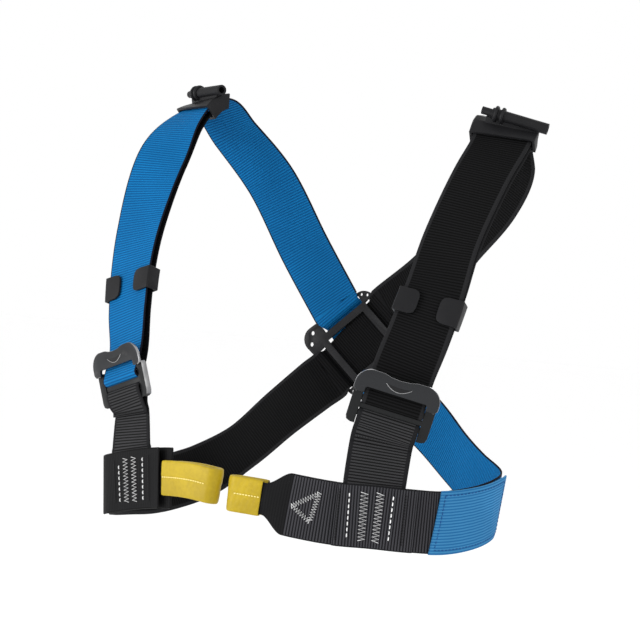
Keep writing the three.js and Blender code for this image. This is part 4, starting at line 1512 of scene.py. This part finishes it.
@dataclass(frozen=True)
class Zigzag:
    """A zigzag's swing to each side, its pitch and its thread's radius, in millimetres."""

    swing: float
    pitch: float
    radius: float


ZIGZAGS = {Sew.ZIGZAG: Zigzag(2.5, 2.6, 0.42), Sew.EDGE: Zigzag(0.9, 2.0, 0.3)}


@dataclass(frozen=True)
class SewnLine:
    """A line of stitches across a band: its place along it, its half width and how it is sewn."""

    along: float
    half: float
    sew: Sew


LEFT_LINES = (
    SewnLine(83.6, 18.0, Sew.EDGE),
    SewnLine(91.2, 16.0, Sew.DASHES),
    SewnLine(101.4, 17.2, Sew.ZIGZAG),
    SewnLine(111.6, 17.6, Sew.ZIGZAG),
    SewnLine(120.6, 16.2, Sew.DASHES),
    SewnLine(129.6, 18.2, Sew.EDGE),
)
RIGHT_LINES = (
    SewnLine(63.5, 17.0, Sew.EDGE),
    SewnLine(70.1, 15.8, Sew.DASHES),
    SewnLine(80.3, 16.8, Sew.ZIGZAG),
    SewnLine(89.6, 16.6, Sew.ZIGZAG),
    SewnLine(97.3, 15.4, Sew.DASHES),
    SewnLine(103.3, 16.0, Sew.EDGE),
)


@dataclass(frozen=True)
class Dashes:
    """A dashed line's stitch length, the gap between stitches and the thread's radius."""

    length: float
    gap: float
    radius: float


@dataclass
class Stitches:
    """All of the harness's threads, sewn through the bands as small raised stitches."""

    finishes: Finishes
    line: Dashes = Dashes(2.6, 1.5, 0.42)
    border_line: Dashes = Dashes(2.0, 1.0, 0.24)
    seam_line: Dashes = Dashes(1.3, 1.0, 0.42)
    border_inset: float = 3.5
    seam_drop: float = 0.7
    sunk: float = 0.3
    shoulder: float = 0.1
    profile: tuple[float, ...] = (0.0, 0.12, 0.35, 0.65, 0.88, 1.0)
    overrun: float = 0.2
    across_steps: int = 20
    along_steps: int = 40
    thread_lift: float = 0.12
    tack_lift: float = 0.18
    triangle_corners: tuple[Point2, ...] = ((50.4, 0.0), (68.4, -12.4), (64.8, 8.8))
    triangle_zigzag: Zigzag = Zigzag(1.6, 0.95, 0.38)
    fold_zigzag: Zigzag = Zigzag(1.0, 1.0, 0.3)
    fold_half: float = 0.44
    fold_steps: int = 40
    fold_back: float = 2.2

    def dashes(self, maker: MeshMaker, line: Sequence[Vector], outward: Sequence[Vector],
               thread: Dashes) -> None:
        """Sews a dashed line along points on a surface.

        Args:
            maker: where the thread goes.
            line: points on the surface in metres.
            outward: the surface's outward direction at each.
            thread: its stitches.
        """
        lengths = [0.0]
        for a, b in zip(line, line[1:]):
            lengths.append(lengths[-1] + (b - a).length / MM)
        flat = np.array([tuple(p) for p in line])
        face = np.array([tuple(n) for n in outward])

        def at(x: float, lift: float) -> Vector:
            """A point over the line.

            Args:
                x: millimetres along the line.
                lift: millimetres outwards.

            Returns:
                The point, in metres.
            """
            place, normal = (Vector([float(np.interp(x, lengths, table[:, k])) for k in range(3)])
                             for table in (flat, face))
            return place + normal.normalized() * lift * MM

        rise = (-self.sunk, self.shoulder, thread.radius)
        heights = list(zip(self.profile, (*rise, *rise[::-1])))
        start = 0.0
        while start + thread.length <= lengths[-1] + self.overrun:
            stitch = [at(start + thread.length * share, lift) for share, lift in heights]
            tube(maker, stitch, thread.radius * MM)
            start += thread.length + thread.gap

    def sewn(self, girth: Route, lift: float, lines: Sequence[SewnLine], white: bool) -> MeshMaker:
        """The lines of one colour on one panel.

        Args:
            girth: the chest band's route.
            lift: the height of the panel's face off it.
            lines: the lines.
            white: which colour to sew.

        Returns:
            The threads.
        """
        maker = MeshMaker()
        for line in (line for line in lines if (line.sew is not Sew.EDGE) == white):
            if line.sew is Sew.DASHES:
                s = girth.at(line.along)
                path = [s.point(x, lift) for x in spread(-line.half, line.half, self.across_steps)]
                self.dashes(maker, path, [s.face] * len(path), self.line)
                continue
            zigzag = ZIGZAGS[line.sew]
            count = int(2 * line.half / zigzag.pitch * 2)
            points = []
            for i, side in enumerate(spread(-line.half, line.half, count)):
                s = girth.at(line.along + (zigzag.swing if i % 2 else -zigzag.swing))
                points.append(s.point(side, lift + self.tack_lift))
            tube(maker, points, zigzag.radius * MM, ZIGZAG_SIDES)
        return maker

    def triangle(self) -> MeshMaker:
        """The triangle on the left band, sewn as a close zigzag.

        Returns:
            The thread.
        """
        maker, corners, zigzag = MeshMaker(), self.triangle_corners, self.triangle_zigzag
        points = []
        for (a0, s0), (a1, s1) in zip(corners, [*corners[1:], corners[0]]):
            long = math.hypot(a1 - a0, s1 - s0)
            count = int(long / zigzag.pitch)
            for i in range(count):
                t = i / count
                swing = zigzag.swing if i % 2 else -zigzag.swing
                along = a0 + (a1 - a0) * t - swing * (s1 - s0) / long
                side = s0 + (s1 - s0) * t + swing * (a1 - a0) / long
                lift = WEBBING_THICKNESS / 2 + self.thread_lift
                points.append(LEFT.girth.at(along).point(side, lift))
        tube(maker, [*points, points[0]], zigzag.radius * MM, ZIGZAG_SIDES)
        return maker

    def border(self, panels: Panels) -> MeshMaker:
        """The stitches round the blue cover's border.

        Args:
            panels: the sizes of the cover.

        Returns:
            The threads.
        """
        maker = MeshMaker()
        lift = LAYER_PITCH + WEBBING_THICKNESS / 2
        start, end = panels.cover[0] + self.border_inset, panels.cover[1] - self.border_inset
        side = panels.cover_width / 2 - self.border_inset
        edges = [[(x, y) for x in spread(start, end, self.along_steps)] for y in (-side, side)]
        edges += [[(x, y) for y in spread(-side, side, self.across_steps)] for x in (start, end)]
        for edge in edges:
            stations = []
            for along, across in edge:
                slant = panels.slant * (side + across) / (2 * side)
                stations.append(LEFT.girth.at(along - slant * (end - along) / (end - start)))
            path = [s.point(across, lift) for s, (_, across) in zip(stations, edge)]
            self.dashes(maker, path, [s.face for s in stations], self.border_line)
        return maker

    def seam(self, loops: TieInLoops, left: bool) -> MeshMaker:
        """The seam along a yellow sleeve's outer face.

        Args:
            loops: the sizes of the sleeves.
            left: whether it is the left sleeve.

        Returns:
            The threads.
        """
        maker = MeshMaker()
        if left:
            stations = LEFT.girth.between(loops.left_sleeve - 1, loops.turn)
        else:
            stations = RIGHT.girth.between(loops.right_sleeve - 1, loops.turn, loops.right_outer)
        below = -self.seam_drop if left else self.seam_drop
        path = [s.point(below, loops.reach - self.sunk) for s in stations]
        self.dashes(maker, path, [s.face for s in stations], self.seam_line)
        return maker

    def fold_lines(self, risers: Risers) -> MeshMaker:
        """The zigzags that hold the risers' folded ends.

        Args:
            risers: the risers.

        Returns:
            The threads.
        """
        maker = MeshMaker()
        lift = WEBBING_THICKNESS / 2 + self.thread_lift
        for side, along in zip((LEFT, RIGHT), risers.along):
            last = risers.stations(side, along)[-1]
            points = []
            for i in range(self.fold_steps + 1):
                across = self.fold_half * (2 * i / self.fold_steps - 1) * WEBBING_WIDTH
                swing = self.fold_zigzag.swing if i % 2 else -self.fold_zigzag.swing
                points.append(last.shifted(along=swing - self.fold_back).point(across, lift))
            tube(maker, points, self.fold_zigzag.radius * MM, ZIGZAG_SIDES)
        return maker

    def build(self, loops: TieInLoops, risers: Risers, panels: Panels) -> None:
        """Makes all the stitches.

        Args:
            loops: the sleeves that carry seams.
            risers: the risers whose ends are sewn.
            panels: the panels and the cover that are sewn down.
        """
        f = self.finishes
        on_left = panels.left_lift + WEBBING_THICKNESS / 2
        on_right = loops.tape_on_tab + panels.over_tape + WEBBING_THICKNESS / 2
        for name, girth, lift, lines in (("left", LEFT.girth, on_left, LEFT_LINES),
                                         ("right", RIGHT.girth, on_right, RIGHT_LINES)):
            for colour, thread in (("white", f.white_thread), ("black", f.black_thread)):
                threads = self.sewn(girth, lift, lines, colour == "white")
                threads.make(f"{name}_{colour}_stitches", Slot.BLACK, thread)
            self.seam(loops, name == "left").make(f"{name}_sleeve_seam", Slot.YELLOW, f.yellow_thread)
        self.triangle().make("triangle_stitches", Slot.BLACK, f.white_thread)
        self.border(panels).make("cover_stitches", Slot.BLUE, f.blue_thread)
        self.fold_lines(risers).make("riser_stitches", Slot.BLACK, f.black_thread)


@dataclass
class Studio:
    """A pale floor, soft light and the camera at the photograph's angle."""

    azimuth: float = 28.5
    elevation: float = -0.8
    roll: float = 4.9
    distance: float = 1.6
    target: tuple[float, float, float] = (0.0, -0.022, -0.145)
    focal_pixels: float = 2087.0
    image_pixels: float = 640.0
    middle: tuple[float, float] = (312.25, 298.85)
    floor_drop: float = 0.3
    clip_start: float = 0.05
    floor_half: float = 60.0
    floor_roughness: float = 0.9
    lights: tuple[tuple[str, tuple[float, float, float], float, float], ...] = (
        ("key", (-1.3, -1.6, 0.0), 1.2, 29.0),
        ("fill", (1.9, -1.0, 0.6), 1.6, 14.0),
        ("back", (0.5, 2.0, 1.2), 1.4, 16.0),
    )

    def aimed(self, name: str, data: bpy.types.ID, place: Vector, way: Vector,
              roll: float = 0.0) -> bpy.types.Object:
        """Adds a camera or a light that looks one way.

        Args:
            name: its name.
            data: the camera or the light.
            place: where it stands, in metres.
            way: the direction that it looks in.
            roll: its turn about that direction, in degrees.

        Returns:
            The new object.
        """
        obj = bpy.data.objects.new(name, data)
        obj.location = place
        obj.rotation_mode = "QUATERNION"
        aim = way.to_track_quat("-Z", "Y")
        obj.rotation_quaternion = aim @ Quaternion((0, 0, 1), math.radians(roll)) if roll else aim
        link(obj)
        return obj

    def camera(self) -> None:
        """Makes the camera."""
        a, e = math.radians(self.azimuth), math.radians(self.elevation)
        back = Vector((math.sin(a) * math.cos(e), -math.cos(a) * math.cos(e), math.sin(e)))
        data = bpy.data.cameras.new("camera")
        data.lens = self.focal_pixels / self.image_pixels * data.sensor_width
        half = self.image_pixels / 2
        data.shift_x = (half - self.middle[0]) / self.image_pixels
        data.shift_y = (self.middle[1] - half) / self.image_pixels
        data.clip_start = self.clip_start
        place = Vector(self.target) + back * self.distance
        bpy.context.scene.camera = self.aimed("camera", data, place, -back, self.roll)

    def light(self, name: str, place: tuple[float, float, float], size: float, power: float) -> None:
        """Adds a soft area light that faces the part's middle.

        Args:
            name: its name.
            place: where it stands, in metres.
            size: its width in metres.
            power: its power in watts.
        """
        data = bpy.data.lights.new(name, "AREA")
        data.shape = "DISK"
        data.size = size
        data.energy = power
        self.aimed(name, data, Vector(place), Vector(self.target) - Vector(place))

    def floor(self) -> None:
        """Makes the pale floor."""
        low, half = CAD_BOX[0].z - self.floor_drop, self.floor_half
        corners = [(-half, -half, low), (half, -half, low), (half, half, low), (-half, half, low)]
        mesh = bpy.data.meshes.new("floor")
        mesh.from_pydata(corners, [], [(0, 1, 2, 3)])
        obj = bpy.data.objects.new("floor", mesh)
        sh = Shader("floor")
        sh.dress(Base_Color=rgba(WHITE), Roughness=self.floor_roughness)
        mesh.materials.append(sh.material)
        link(obj)

    def build(self) -> None:
        """Makes the whole studio."""
        scene = bpy.context.scene
        scene.view_settings.view_transform = "Standard"
        world = bpy.data.worlds.new("studio")
        world.use_nodes = True
        world.node_tree.nodes["Background"].inputs["Color"].default_value = rgba(WHITE)
        world.node_tree.nodes["Background"].inputs["Strength"].default_value = 1.0
        scene.world = world
        self.camera()
        self.floor()
        for name, place, size, power in self.lights:
            self.light(name, place, size, power)


def write_sizes() -> None:
    """Updates the view layer."""
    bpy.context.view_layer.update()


def main() -> None:
    """Builds every sub-assembly in order."""
    logging.basicConfig(level=logging.INFO, format="%(name)s: %(message)s")
    finishes = Finishes()
    Studio().build()
    ShoulderWebs(finishes).build()
    loops = TieInLoops(finishes)
    loops.build()
    risers = Risers(finishes)
    risers.build()
    panels = Panels(finishes)
    panels.build(loops)
    HardParts(finishes).build()
    Stitches(finishes).build(loops, risers, panels)
    write_sizes()
    LOG.info("all sub-assemblies are built")


if __name__ == "__main__":
    main()
